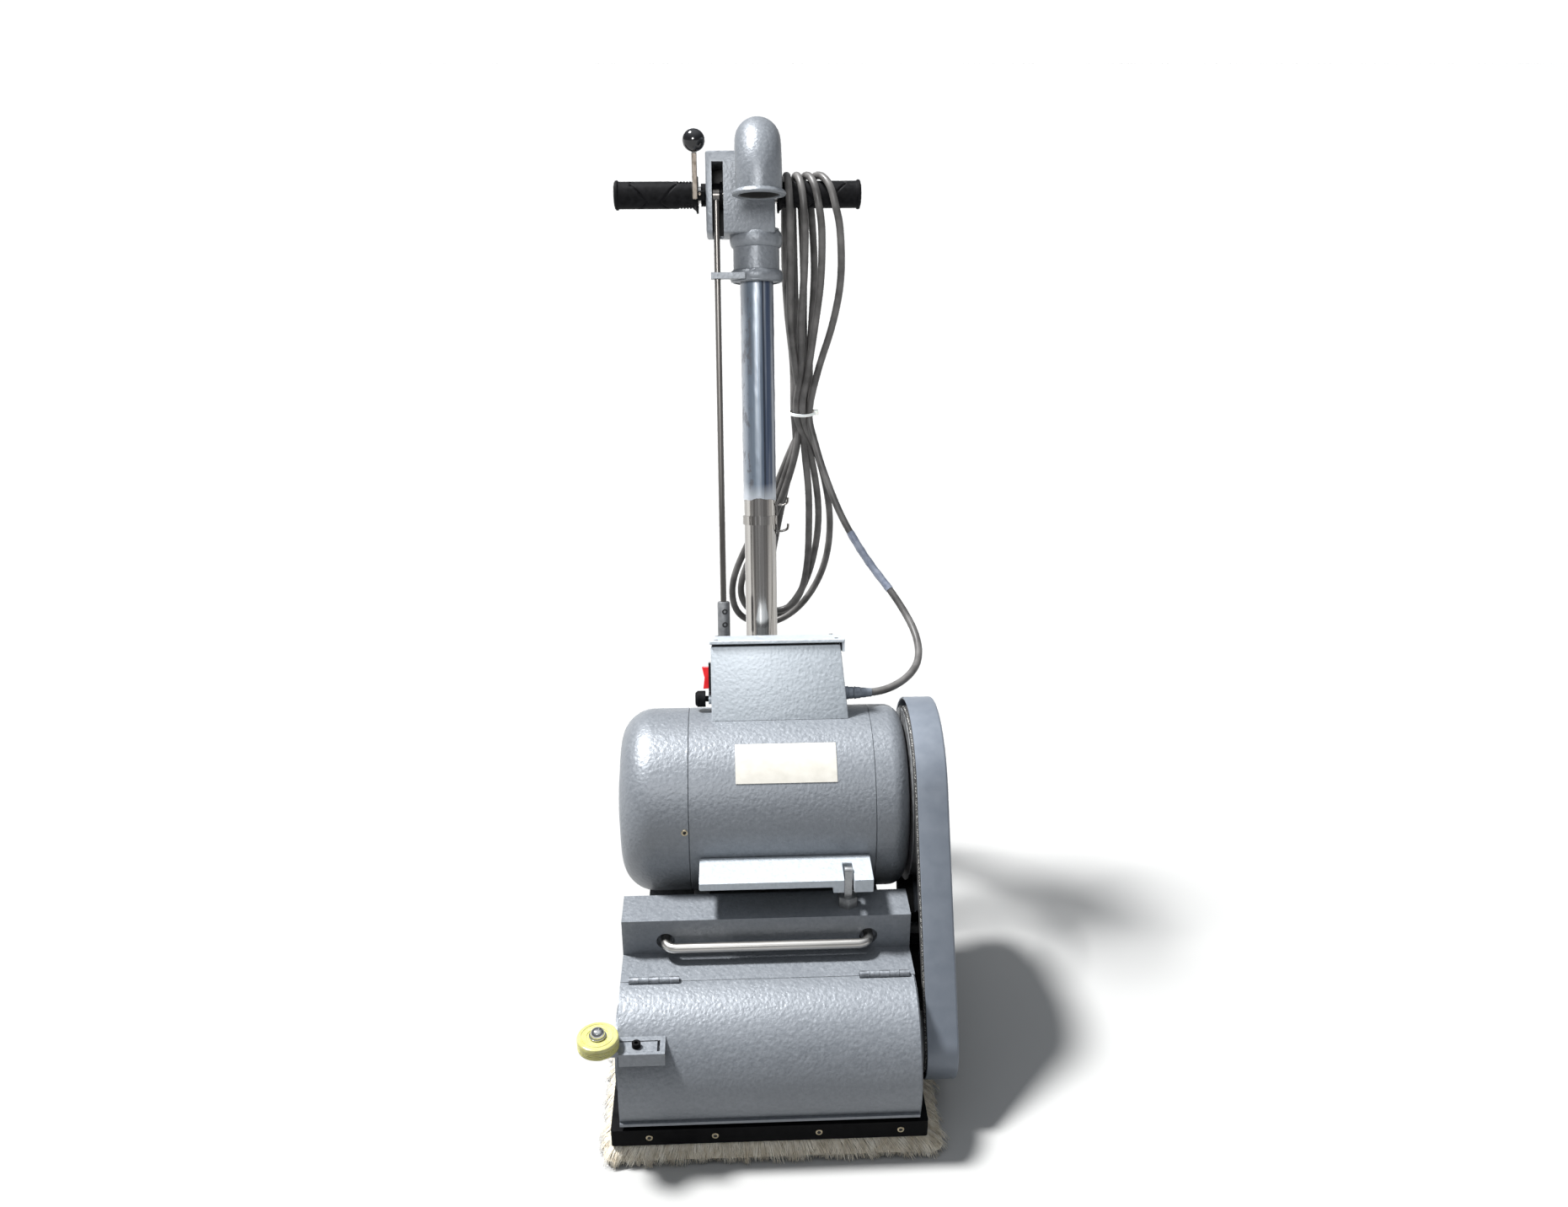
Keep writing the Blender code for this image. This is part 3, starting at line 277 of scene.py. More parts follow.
def make_looks():
    """Every look by its short name. The names of the record's material slots are among them."""
    looks = {}
    looks["hammertone"] = hammertone(
        "hammertone_paint", (0.146, 0.159, 0.176), (0.184, 0.198, 0.216), (0.38, 0.50), 0.36
    )
    # A paler copy of the hammertone: painted light on the terminal box, its lid and the motor lug,
    # which wear the same paint as the body.
    looks["pale"] = hammertone(
        "hammertone_with_painted_light", (0.36, 0.395, 0.427), (0.432, 0.468, 0.504), (0.42, 0.54), 0.34
    )
    looks["guard"] = mottled(
        "guard_paint", (0.14, 0.16, 0.19), (0.16, 0.18, 0.21), 60.0, (0.42, 0.5), 0.05,
        Metallic=0.3,
    )
    looks["steel"] = mottled(
        "satin_steel", (0.50, 0.49, 0.47), (0.63, 0.62, 0.60), 90.0, (0.22, 0.36), 0.02,
        (1, 1, 0.1), Metallic=1.0,
    )
    looks["strip"] = mottled(
        "strip_steel", (0.16, 0.13, 0.10), (0.34, 0.30, 0.26), 120.0, (0.28, 0.45), 0.04,
        Metallic=0.9,
    )
    looks["rod"] = mottled(
        "rod_steel", (0.10, 0.094, 0.088), (0.19, 0.18, 0.17), 70.0, (0.25, 0.4), 0.02,
        (1, 1, 0.05), lean=LEAN, Metallic=0.9,
    )
    # The dark brown and pale streaks along the tube are painted reflections.
    looks["chrome"] = mottled(
        "chrome_with_painted_reflections", (0.10, 0.085, 0.07), (0.80, 0.78, 0.75), 105.0, (0.08, 0.22), 0.01,
        (1, 1, 0.004), lean=LEAN, Metallic=1.0,
    )
    looks["polish"] = mottled(
        "polished_steel", (0.58, 0.58, 0.57), (0.72, 0.72, 0.71), 90.0, (0.08, 0.16), 0.01,
        Metallic=1.0,
    )
    looks["bar"] = mottled(
        "brushed_bar", (0.46, 0.445, 0.42), (0.62, 0.60, 0.57), 240.0, (0.28, 0.38), 0.01,
        (0.03, 1, 1), Metallic=1.0,
    )
    looks["hinge"] = mottled(
        "painted_hinge", (0.15, 0.16, 0.175), (0.26, 0.275, 0.30), 160.0, (0.3, 0.45), 0.06,
        Metallic=0.7,
    )
    looks["gland"] = mottled(
        "gland_paint", (0.13, 0.15, 0.18), (0.21, 0.235, 0.27), 160.0, (0.4, 0.5), 0.06,
        Metallic=0.3,
    )
    looks["tape"] = mottled(
        "bluish_tape", (0.13, 0.15, 0.21), (0.28, 0.31, 0.38), 60.0, (0.2, 0.35), 0.1,
        Coat_Weight=0.4,
    )
    looks["black_metal"] = mottled(
        "black_band_paint", (0.002, 0.002, 0.0025), (0.006, 0.006, 0.0065), 70.0, (0.45, 0.65),
        0.12, Specular_IOR_Level=0.04,
    )
    looks["black_plastic"] = mottled(
        "black_gloss_plastic", (0.004, 0.004, 0.005), (0.009, 0.009, 0.010), 40.0, (0.10, 0.2),
        0.01, Coat_Weight=0.2,
    )
    looks["rubber"] = mottled(
        "black_rubber", (0.003, 0.003, 0.0035), (0.009, 0.009, 0.010), 160.0, (0.5, 0.66), 0.08,
        Specular_IOR_Level=0.05,
    )
    looks["belt"] = make_belt_look()
    looks["bristle"] = mottled(
        "bristle_hair", (0.60, 0.52, 0.39), (0.93, 0.89, 0.79), 110.0, (0.45, 0.7), 0.05,
        (1, 1, 0.15), Subsurface_Weight=0.15,
    )
    # Darker than the strands: painted shade among the dense bristles.
    looks["bristle_core_painted_shade"] = mottled(
        "bristle_core_painted_shade", (0.26, 0.22, 0.16), (0.55, 0.51, 0.42), 260.0, (0.8, 0.95), 0.9,
        (1, 1, 0.12),
    )
    looks["roller"] = mottled(
        "roller_plastic", (0.48, 0.46, 0.16), (0.60, 0.58, 0.27), 60.0, (0.12, 0.24), 0.02,
        Transmission_Weight=0.35, Subsurface_Weight=0.35, Subsurface_Scale=0.01,
        Subsurface_Radius=(0.02, 0.018, 0.005), IOR=1.48,
    )
    looks["abrasive"] = mottled(
        "abrasive_grit", (0.10, 0.045, 0.025), (0.36, 0.17, 0.10), 1500.0, (0.75, 0.95), 0.5,
        bump_scale=2200.0,
    )
    looks["cast"] = mottled(
        "bare_casting", (0.12, 0.125, 0.13), (0.20, 0.205, 0.21), 120.0, (0.45, 0.7), 0.25,
        Metallic=0.6,
    )
    looks["zinc"] = mottled(
        "zinc_plate", (0.26, 0.265, 0.27), (0.38, 0.385, 0.39), 160.0, (0.28, 0.42), 0.03,
        Metallic=0.85,
    )
    looks["copper"] = mottled(
        "varnished_windings", (0.28, 0.11, 0.04), (0.55, 0.26, 0.11), 300.0, (0.3, 0.5), 0.4,
        Metallic=0.7,
    )
    looks["film"] = make_film_look()
    looks["red"] = mottled(
        "red_gloss_plastic", (0.55, 0.012, 0.016), (0.70, 0.02, 0.024), 50.0, (0.12, 0.22), 0.01,
        Coat_Weight=0.3,
    )
    looks["cord"] = mottled(
        "grey_cord_sheath", (0.042, 0.040, 0.039), (0.115, 0.111, 0.108), 34.0, (0.36, 0.5), 0.05,
        Specular_IOR_Level=0.35,
    )
    looks["white"] = mottled(
        "white_nylon", (0.76, 0.76, 0.73), (0.86, 0.86, 0.84), 60.0, (0.3, 0.42), 0.02,
        Subsurface_Weight=0.1,
    )
    looks["plate"] = mottled(
        "cream_label_plate", (0.40, 0.385, 0.345), (0.45, 0.435, 0.395), 70.0, (0.3, 0.42), 0.02,
        Coat_Weight=0.2,
    )
    looks["brass"] = mottled(
        "brass_ring", (0.26, 0.22, 0.15), (0.48, 0.42, 0.30), 400.0, (0.25, 0.45), 0.03,
        Metallic=1.0,
    )
    # Dark screws, and also painted shade inside the dust outlet and the lever's slot.
    looks["dark"] = mottled(
        "dark_screws_and_painted_shade", (0.010, 0.010, 0.010), (0.022, 0.022, 0.022), 200.0, (0.6, 0.8), 0.05
    )
    return looks


def make_belt_look():
    """Black rubber with a worn, pale fabric line round its edge."""
    made = Paint("belt_rubber", Roughness=0.7)
    tones = [(0.3, (0.012, 0.012, 0.012)), (0.7, (0.035, 0.035, 0.036))]
    rubber = made.ramp(made.noise(300.0), tones)
    specks = made.span(made.noise(900.0, 2.0), 0.0, 1.0, 0.52, 0.62)
    thread = made.mix(specks, rubber, (0.42, 0.42, 0.40))
    edge_x, half_width = 0.1822, 0.0009
    edge = made.nodes.new("ShaderNodeMath")
    edge.operation = "COMPARE"
    made.links.new(made.axis("X"), edge.inputs[0])
    edge.inputs[1].default_value = edge_x
    edge.inputs[2].default_value = half_width
    made.set("Base Color", made.mix(edge.outputs["Value"], rubber, thread))
    made.relief(made.noise(1200.0), 0.2)
    return made


def make_film_look():
    """Blue-grey film with a dark seam: pale to its left and dark blue to its right are painted
    light and shade, and its long pale streaks are painted highlights.
    """
    made = Paint("protective_film", Metallic=0.4, Coat_Weight=0.3, Coat_Roughness=0.25)
    # Across the tube from left to right: painted light on the left side, painted shade towards the
    # right.
    across = made.span(made.axis("X"), 0.0, 1.0, -0.0195, 0.025)
    tones = [(0.0, (0.30, 0.32, 0.35)), (0.22, (0.13, 0.16, 0.20)), (0.48, (0.17, 0.21, 0.26))]
    seam = [(0.62, (0.10, 0.13, 0.18)), (0.66, (0.02, 0.024, 0.032)), (0.71, (0.045, 0.066, 0.115))]
    base = made.ramp(across, tones + seam + [(1.0, (0.03, 0.046, 0.085))])
    # Long pale streaks up the tube: painted highlights, which also set the roughness.
    streaks = made.noise(150.0, 4.0, (1, 1, 0.012), lean=LEAN)
    base = made.mix(made.span(streaks, 0.0, 0.75, 0.5, 0.68), base, (0.34, 0.36, 0.39))
    patches = made.span(made.noise(75.0, 5.0, (1, 1, 0.5), 0.7, LEAN), 0.0, 0.85, 0.55, 0.60)
    left = made.span(across, 0.85, 0.0, 0.26, 0.34)
    worn = made.nodes.new("ShaderNodeMath")
    worn.operation = "MULTIPLY"
    made.links.new(patches, worn.inputs[0])
    made.links.new(left, worn.inputs[1])
    base = made.mix(worn.outputs["Value"], base, (0.10, 0.10, 0.11))
    hem = made.span(made.axis("Z"), 0.8, 0.0, 0.622, 0.640)
    made.set("Base Color", made.mix(hem, base, (0.50, 0.53, 0.57)))
    made.set("Roughness", made.span(streaks, 0.24, 0.44))
    made.relief(made.noise(110.0, 4.0, (1, 1, 0.05), lean=LEAN), 0.5)
    return made


make_camera()
LOOKS = make_looks()


# Meshes


def finish_mesh(made, name):
    """A smooth mesh of a bmesh, sharp where its faces turn by more than 35 degrees."""
    mesh = bpy.data.meshes.new(name)
    bmesh.ops.recalc_face_normals(made, faces=made.faces)
    made.to_mesh(mesh)
    made.free()
    mesh.polygons.foreach_set("use_smooth", [True] * len(mesh.polygons))
    mesh.set_sharp_from_angle(angle=math.radians(35.0))
    return mesh


def piece(name, data, look, body, replaces=()):
    """A shown piece that rides on a CAD body."""
    made = linked(name, data)
    data.materials.append(LOOKS[look].material)
    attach(made, body)
    if replaces:
        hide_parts(*replaces)
    return made


def bevelled(made, width, segments, degrees=40.0):
    """Softens an object's sharp edges by a width in millimetres."""
    modifier = made.modifiers.new("bevel", "BEVEL")
    modifier.width = width * MM
    modifier.segments = segments
    modifier.limit_method = "ANGLE"
    modifier.angle_limit = math.radians(degrees)
    modifier.harden_normals = True
    return made


def loft(name, loops, closed_ends=False, joined=False, wrap=True):
    """Skins between loops of points in metres."""
    made = bmesh.new()
    rows = [[made.verts.new(point) for point in loop] for loop in loops]
    for row, following in zip(rows, rows[1:] + (rows[:1] if joined else [])):
        for i in range(len(row) if wrap else len(row) - 1):
            j = (i + 1) % len(row)
            made.faces.new((row[i], row[j], following[j], following[i]))
    if closed_ends:
        made.faces.new(rows[0])
        made.faces.new(rows[-1][::-1])
    return finish_mesh(made, name)


def lathe(name, profile, matrix, steps=96, closed=False):
    """A profile of (radius, height) millimetres turned round the matrix's Z."""
    made = bmesh.new()
    rings = []
    for radius, height in profile:
        if radius == 0:
            rings.append([made.verts.new(matrix @ Vector((0, 0, height * MM)))])
            continue
        ring = []
        for angle in turns(steps):
            point = Vector((radius * math.cos(angle), radius * math.sin(angle), height)) * MM
            ring.append(made.verts.new(matrix @ point))
        rings.append(ring)
    for ring, following in zip(rings, rings[1:] + (rings[:1] if closed else [])):
        for i in range(steps):
            j = (i + 1) % steps
            if len(ring) == len(following) == 1:
                continue
            if len(ring) == 1:
                made.faces.new((ring[0], following[j], following[i]))
            elif len(following) == 1:
                made.faces.new((ring[i], ring[j], following[0]))
            else:
                made.faces.new((ring[i], ring[j], following[j], following[i]))
    return finish_mesh(made, name)


def arc(centre, radius, start, end, count):
    """Points along an arc, from one angle in degrees to another."""
    found = []
    for i in range(count + 1):
        angle = math.radians(start + (end - start) * i / count)
        found.append((centre[0] + radius * math.cos(angle), centre[1] + radius * math.sin(angle)))
    return found


def smooth_path(points, steps=6):
    """A Catmull-Rom curve through points."""
    places = [Vector(p) for p in points]
    places = [places[0] * 2 - places[1]] + places + [places[-1] * 2 - places[-2]]
    found = []
    for a, b, c, d in zip(places, places[1:], places[2:], places[3:]):
        for i in range(steps):
            t = i / steps
            near = b * 2 + (c - a) * t
            far = (a * 2 - b * 5 + c * 4 - d) * t * t + (b * 3 - a - c * 3 + d) * t * t * t
            found.append((near + far) / 2)
    found.append(places[-2])
    return found


def relaxed(points, spacing=6.0, passes=6):
    """The same path at even steps, with its sharpest bends eased."""
    even = [points[0]]
    for point in points[1:]:
        while (point - even[-1]).length > spacing:
            even.append(even[-1] + (point - even[-1]).normalized() * spacing)
    even[-1] = points[-1]
    for _ in range(passes):
        inner = [(a + b * 2 + c) / 4 for a, b, c in zip(even, even[1:], even[2:])]
        even = [even[0], even[1]] + inner[1:-1] + [even[-2], even[-1]]
    return even


def sweep(points, radius, count):
    """Rings of a radius round a path of points in metres that lies in one plane across X."""
    loops = []
    for before, point, after in zip([points[0]] + points, points, points[1:] + [points[-1]]):
        ahead = (after - before).normalized()
        side = Vector((1, 0, 0))
        up = ahead.cross(side).normalized()
        loops.append(spokes(point, side, up, radius * MM, count))
    return loops


def spokes(centre, side, up, radius, count):
    """A ring of points about a centre, in the plane of two directions."""
    return [centre + (side * math.cos(a) + up * math.sin(a)) * radius for a in turns(count)]


# Cord


TIE = Vector((70.0, 590.0, 704.0))
BUNDLE_R = 11.7
HOOP_Y, HOOP_Z, HOOP_R = 588, 995.5, 34.5

# From the tube outwards: where each turn stands over the grip, and at four heights below it
HOOP_X = [46.5, 57.5, 68.5, 81.0]
FRONT_X = {
    970: [51, 71, 93, 117],
    900: [51, 70, 93, 120],
    835: [52, 66, 86, 110],
    770: [60, 68, 78, 92],
}
FRONT_Y = {970: 554, 900: 556, 835: 563, 770: 575}
BACK_X = {
    970: [46.5, 58, 70, 84],
    900: [47, 60, 73, 88],
    835: [51, 62, 73, 85],
    770: [58, 66, 74, 81],
}
BACK_Y = {970: 622, 900: 620, 835: 615, 770: 605}

# The (x, z) of the three loops below the tie, the outermost first
LOWER_LOOPS = [
    [
        (58, 655), (24, 570), (-10, 500), (-33, 440), (-30, 392), (-4, 371), (35, 372),
        (76, 405), (106, 466), (113, 543), (98, 625),
    ],
    [
        (60, 655), (34, 575), (2, 500), (-21, 440), (-15, 402), (14, 384), (48, 394),
        (76, 438), (92, 500), (95, 565), (82, 645),
    ],
    [
        (63, 655), (42, 580), (12, 508), (-7, 455), (-7, 424), (8, 402), (32, 395),
        (56, 404), (71, 430), (79, 475), (81, 530), (80, 590), (74, 648),
    ],
]

RUN = [
    (121.2, 264.7, 420.5), (127, 264.7, 420.5), (138, 265, 420), (158, 269, 420),
    (182, 282, 424), (203, 305, 430), (215, 338, 438), (213, 385, 455), (190, 430, 486),
    (157, 470, 522), (124, 510, 571), (99, 545, 629), (86, 566, 672),
]
TAIL = [
    (62, 597, 650), (48, 600, 590), (34, 601, 520), (24, 600, 460), (18, 597, 410),
    (17, 592.5, 375), (17, 592, 352),
]


def hoop(turn):
    """Over the grip from front to back, leaning outwards in front."""
    found = []
    shift = (FRONT_X[970][turn] - HOOP_X[turn]) * 0.8
    for i in range(7):
        a = math.pi * i / 6
        x = HOOP_X[turn] + shift * (0.5 + 0.5 * math.cos(a)) ** 1.5
        found.append((x, HOOP_Y - HOOP_R * math.cos(a), HOOP_Z + HOOP_R * math.sin(a)))
    return found


def lower_loop(level):
    """One loop under the tie, each a little in front of the one before."""
    found = []
    depth = 596.0 - 5.2 * level
    loop = LOWER_LOOPS[level]
    for i, (x, z) in enumerate(loop):
        bow = 3.0 * math.sin(math.pi * i / (len(loop) - 1))
        found.append((x, depth - bow * (level - 1), z))
    return found


def hank_route():
    """The cord's centre line: the run up to the tie, four turns over the grip, and the tail."""
    angles = [math.radians(-90 + 51.43 * i) for i in range(7)]
    ring = [TIE + Vector((math.cos(a), math.sin(a), 0)) * BUNDLE_R for a in angles]
    fronts = [TIE, ring[6], ring[0], ring[1]]
    backs = [ring[5], ring[4], ring[3], ring[2]]
    rising = (770, 835, 900, 970)
    route = list(RUN)
    for turn in (3, 2, 1, 0):
        route.append(tuple(fronts[turn]))
        route += [(FRONT_X[z][turn], FRONT_Y[z], z) for z in rising]
        route += hoop(turn)
        route += [(BACK_X[z][turn], BACK_Y[z], z) for z in rising[::-1]]
        route.append(tuple(backs[turn]))
        if turn:
            route += lower_loop(3 - turn)
    return route + TAIL


def make_tape(points):
    """A slightly uneven wrap round the run, a little way up from the gland."""
    wrap = [p for p in points if 131 < p.x < 188 and 430 < p.y < 500]
    loops = []
    for i, point in enumerate(wrap):
        ahead = (wrap[min(i + 1, len(wrap) - 1)] - wrap[max(i - 1, 0)]).normalized()
        side = ahead.cross(Vector((0, 0, 1))).normalized()
        radius = 5.5 + 0.25 * math.sin(i * 1.7)
        loops.append([at(*p) for p in spokes(point, side, side.cross(ahead), radius, 28)])
    return piece("cord_tape", loft("cord_tape", loops, closed_ends=True), "tape", "frame")


def make_strain_relief(start):
    """The tapered boot on the gland, stepped like moulded ribs."""
    boot = [(8.0, 0.0), (8.0, 2.0), (7.5, 3.0), (7.3, 8.0), (6.5, 9.0), (6.4, 15.0)]
    boot += [(5.8, 16.0), (5.6, 22.0), (5.1, 23.0), (5.1, 0.0)]
    matrix = x_axis_at(start[1], start[2], 120.9)
    return piece("strain_relief", lathe("strain_relief", boot, matrix, 40, True), "gland", "frame")


def make_cord():
    """The whole cord as one curve, with its boot and its wrap."""
    points = relaxed(smooth_path(hank_route(), 8))
    curve = bpy.data.curves.new("power_cord", "CURVE")
    curve.dimensions = "3D"
    curve.bevel_depth = CORD_D / 2 * MM
    curve.bevel_resolution = 4
    curve.use_fill_caps = True
    spline = curve.splines.new("POLY")
    spline.points.add(len(points) - 1)
    for place, point in zip(spline.points, points):
        place.co = (*at(*point), 1.0)
    spline.use_smooth = True
    cord = piece("power_cord", curve, "cord", "frame", ("cord_run", "cord_hank"))
    relief = make_strain_relief(RUN[0])
    tape = make_tape(points)


make_cord()


# CAD nodes that stay: welded and softly bevelled, with a material of their own

# The terminal box, its lid and the motor lug take the pale look: painted light on the body's
# hammertone paint.
NODE_LOOKS = {
    "terminal_box": "pale", "box_lid": "pale", "control_rod": "rod", "rod_coupling": "zinc",
    "motor_lug": "pale", "cord_gland": "gland", "reset_button": "rubber", "lever_strip": "strip",
    "drive_belt": "belt", "tension_bolt": "zinc", "hinge_left": "hinge", "hinge_right": "hinge",
    "carry_bar": "bar",
}
BEVELS = {
    "drum_housing": 1.2, "front_door": 0.5, "head_casting": 0.8, "roller_channel": 0.7,
    "roller_arm": 0.6, "motor_lug": 1.2, "terminal_box": 0.3, "box_lid": 0.4, "rear_chassis": 1.5,
    "motor_base": 1.0, "tension_bolt": 0.5, "base_band": 1.0, "lever_hub": 0.5,
    "rocker_switch": 0.8, "reset_button": 0.6, "switch_bezel": 0.4, "cord_plug": 0.8,
    "wheel_left": 0.8, "wheel_right": 0.8, "cable_tie": 0.3, "clamp_screw": 0.3,
    "guard_bracket": 0.4, "rod_coupling": 0.5,
}


def dress_nodes():
    """Materials and soft edges for the CAD nodes. One that isn't listed takes its slot's look."""
    for name, node in NODES.items():
        look = NODE_LOOKS.get(name, SLOTS[name])
        node.data.materials.clear()
        node.data.materials.append(LOOKS[look].material)
        custom = node.data.attributes.get("custom_normal")
        if custom:
            node.data.attributes.remove(custom)
        node.data.polygons.foreach_set("use_smooth", [True] * len(node.data.polygons))
        weld = node.modifiers.new("weld", "WELD")
        weld.merge_threshold = 1e-5
        if name in BEVELS:
            bevelled(node, BEVELS[name], 2, 38.0)
        split = node.modifiers.new("split", "EDGE_SPLIT")
        split.split_angle = math.radians(36.0)


dress_nodes()


# Motor


def painted(name, data, *replaces):
    """A hammertone piece on the frame."""
    return piece(name, data, "hammertone", "frame", replaces)


def make_motor():
    """The shell and its two end bells, turned, with a fine groove at each seam."""
    left, right = -92.0, 137.0
    inner = MOTOR_R - 5
    axis = x_axis_at(MOTOR_Y, MOTOR_Z)
    edge = MOTOR_R - 0.8
    profile = [(inner, left), (edge, left), (MOTOR_R, left + 0.8), (MOTOR_R, right - 0.8)]
    profile += [(edge, right), (inner, right)]
    painted("motor_shell_skin", lathe("motor_shell_skin", profile, axis, 144, True), "motor_shell")

    seam = left - 0.3
    corner = (MOTOR_R - BELL_R, -137.0)
    profile = [(inner, seam), (edge, seam), (MOTOR_R, seam - 0.8), (MOTOR_R, -112.0)]
    profile += arc(corner, BELL_R, 0.0, -80.0, 20)
    profile += [(62, -180.3), (46, -182.2), (32, -183.3), (16, -184.1), (0, -184.5), (0, -166)]
    profile += [(12.5, -166), (12.5, -112), (22, -112), (22, -176), (60, -174.5)]
    profile += arc(corner, BELL_R - 5, -76.0, 0.0, 12)
    painted("left_bell", lathe("left_bell", profile, axis, 144, True), "motor_end_left")

    seam = right + 0.3
    profile = [(edge, seam), (inner, seam), (inner, 160), (98, 172), (12.5, 172), (12.5, 180)]
    profile += [(94, 180)] + arc((MOTOR_R - 22, 158.0), 22.0, 90.0, 0.0, 14)
    profile += [(MOTOR_R, seam + 0.8)]
    painted("right_bell", lathe("right_bell", profile, axis, 144, True), "motor_end_right")


def on_motor(x, degrees, lift=0.0):
    """A matrix on the motor's skin, its Z pointing out, at an angle above the front."""
    a = math.radians(degrees)
    out = Vector((0, -math.cos(a), math.sin(a)))
    place = Vector((x, MOTOR_Y, MOTOR_Z)) + out * (MOTOR_R + lift)
    return placed(place, (1, 0, 0), out.cross(Vector((1, 0, 0))))


def make_label():
    """A blank cream plate bent round the motor."""
    left, right, low, high = -34.5, 90.0, 39.5, 65.0
    angles = [low + (high - low) * i / 16 for i in range(17)]
    corners = ((left, 0.1), (left, 0.9), (right, 0.9), (right, 0.1))
    loops = [[on_motor(x, a, lift).translation for a in angles] for x, lift in corners]
    made = loft("label_plate", loops, joined=True, wrap=False)
    bevelled(piece("label_plate", made, "plate", "frame"), 0.25, 1)


make_motor()
make_label()


# Handle, film, elbow and grips


def film_radius(a, s):
    """The film's wrinkled radius at an angle and a height up the tube."""
    slow = 0.22 * math.sin(5 * a + s * 0.05) * math.sin(s * 0.11 + 2 * a)
    return FILM_R + max(0.0, slow + 0.12 * math.sin(11 * a + s * 0.3))


def make_handle():
    """The chromed tube, and the film round it with a wavy lower hem."""
    foot = tube_frame(TUBE_X, 0, 0)
    profile = [(19.5, 2.4), (TUBE_R, 2.4), (TUBE_R, TUBE_TOP), (19.5, TUBE_TOP)]
    tube = lathe("tube_skin", profile, foot, 72, True)
    piece("tube_skin", tube, "chrome", "frame", ("handle_tube",))

    def on_tube(radius, a, s):
        return foot @ (Vector((radius * math.cos(a), radius * math.sin(a), s)) * MM)

    count, steps = 60, 72
    loops = []
    for k in range(count):
        s = FILM_LOW + (FILM_HIGH - FILM_LOW) * k / (count - 1)
        ring = []
        for a in turns(steps):
            hem = 1.4 * math.sin(3 * a) + 0.8 * math.sin(7 * a + 1.0) if k == 0 else 0.0
            ring.append(on_tube(film_radius(a, s), a, s + hem))
        loops.append(ring)
    for s in (FILM_HIGH, FILM_LOW + 1.5):
        loops.append([on_tube(FILM_R - 0.3, a, s) for a in turns(steps)])
    piece("film_skin", loft("film_skin", loops, joined=True), "film", "frame", ("film_sleeve",))


def make_elbow():
    """The hollow dust elbow with a rolled lip at its mouth."""
    points = arc((ELBOW_BEND, ELBOW_S), ELBOW_BEND, 180.0, 0.0, 30)
    points += [(MOUTH_N, 790.0), (MOUTH_N, 783.0)]
    path = [at(ELBOW_X, *tube_point(n, s)) for n, s in points]
    outer = sweep(path, ELBOW_R, 56)
    lip = [(783.0, 30.6), (781.0, 33.2), (778.5, 34.5), (776.5, 33.8)]
    lip += [(MOUTH_S, 32.0), (MOUTH_S, 27.0)]
    ahead = Vector((0, -math.sin(LEAN), -math.cos(LEAN)))
    side = Vector((1, 0, 0))
    for s, radius in lip:
        centre = at(ELBOW_X, *tube_point(MOUTH_N, s))
        outer.append(spokes(centre, side, ahead.cross(side), radius * MM, 56))
    inner = sweep(path, ELBOW_BORE, 56)[::-1]
    painted("elbow_skin", loft("elbow_skin", outer + inner, joined=True), "dust_elbow")


def make_throat():
    """A dark sheet seen through the dust outlet: painted shade inside the outlet."""
    mouth = tube_frame(ELBOW_X, MOUTH_N, 0.0)
    lining = [(24.9, 776.8), (24.9, 801.0), (23.9, 801.0), (23.9, 777.6)]
    # The sheet in the dark look is painted shade inside the outlet.
    made = lathe("outlet_painted_shade", lining, mouth, 56, True)
    piece("outlet_painted_shade", made, "dark", "frame")


# Grooves in the rubber, between points along the grip and round it
GROOVES = [((91, 24), (67, -2)), ((51, -2), (28, 26)), ((91, -28), (67, -2)), ((51, -2), (28, -28))]
GROOVES += [((27 - 4.2 * i, 25), (22 - 4.2 * i, 3)) for i in range(5)]
GROOVE_DEPTH, GROOVE_HALF = 1.9, 1.7


def groove_depth(a, b):
    """How deep the rubber is cut at a along the grip and b round it, in millimetres."""
    deepest = 0.0
    for (a0, b0), (a1, b1) in GROOVES:
        da, db = a1 - a0, b1 - b0
        t = max(0.0, min(1.0, ((a - a0) * da + (b - b0) * db) / (da * da + db * db)))
        gap = math.hypot(a - a0 - t * da, b - b0 - t * db)
        deepest = max(deepest, 1.0 - gap / GROOVE_HALF)
    return GROOVE_DEPTH * deepest


def make_grip(side, inner_x, outward):
    """A rubber grip with a flange, an end bead and the grooves on two faces."""
    y, z = tube_point(0, GRIP_S)
    outline = [(0, 23.2), (0.5, 24), (2.5, 24), (3.0, 21.0), (6.0, 18.6), (8.0, 17.7)]
    outline += [(9.0 + i, GRIP_R) for i in range(97)]
    outline += [(106.0, 17.8), (107.0, 19.0), (108.5, 19.3), (110.0, 19.0)]
    outline += [(111.2, 17.2), (112.0, 14.0), (112.0, 6.0)]
    loops = []
    for a, radius in outline:
        ring = []
        for angle in turns(110):
            b = ((angle - math.radians(30)) % math.pi - math.pi / 2) * GRIP_R
            cut = groove_depth(a, b) if 5.0 < a < 104.0 else 0.0
            r = (radius - cut) * MM
            spoke = Vector((0, -r * math.sin(angle), r * math.cos(angle)))
            ring.append(at(inner_x + outward * a, y, z) + spoke)
        loops.append(ring)
    made = loft("grip_" + side, loops, closed_ends=True)
    piece("rubber_grip_" + side, made, "rubber", "frame", ("grip_" + side,))


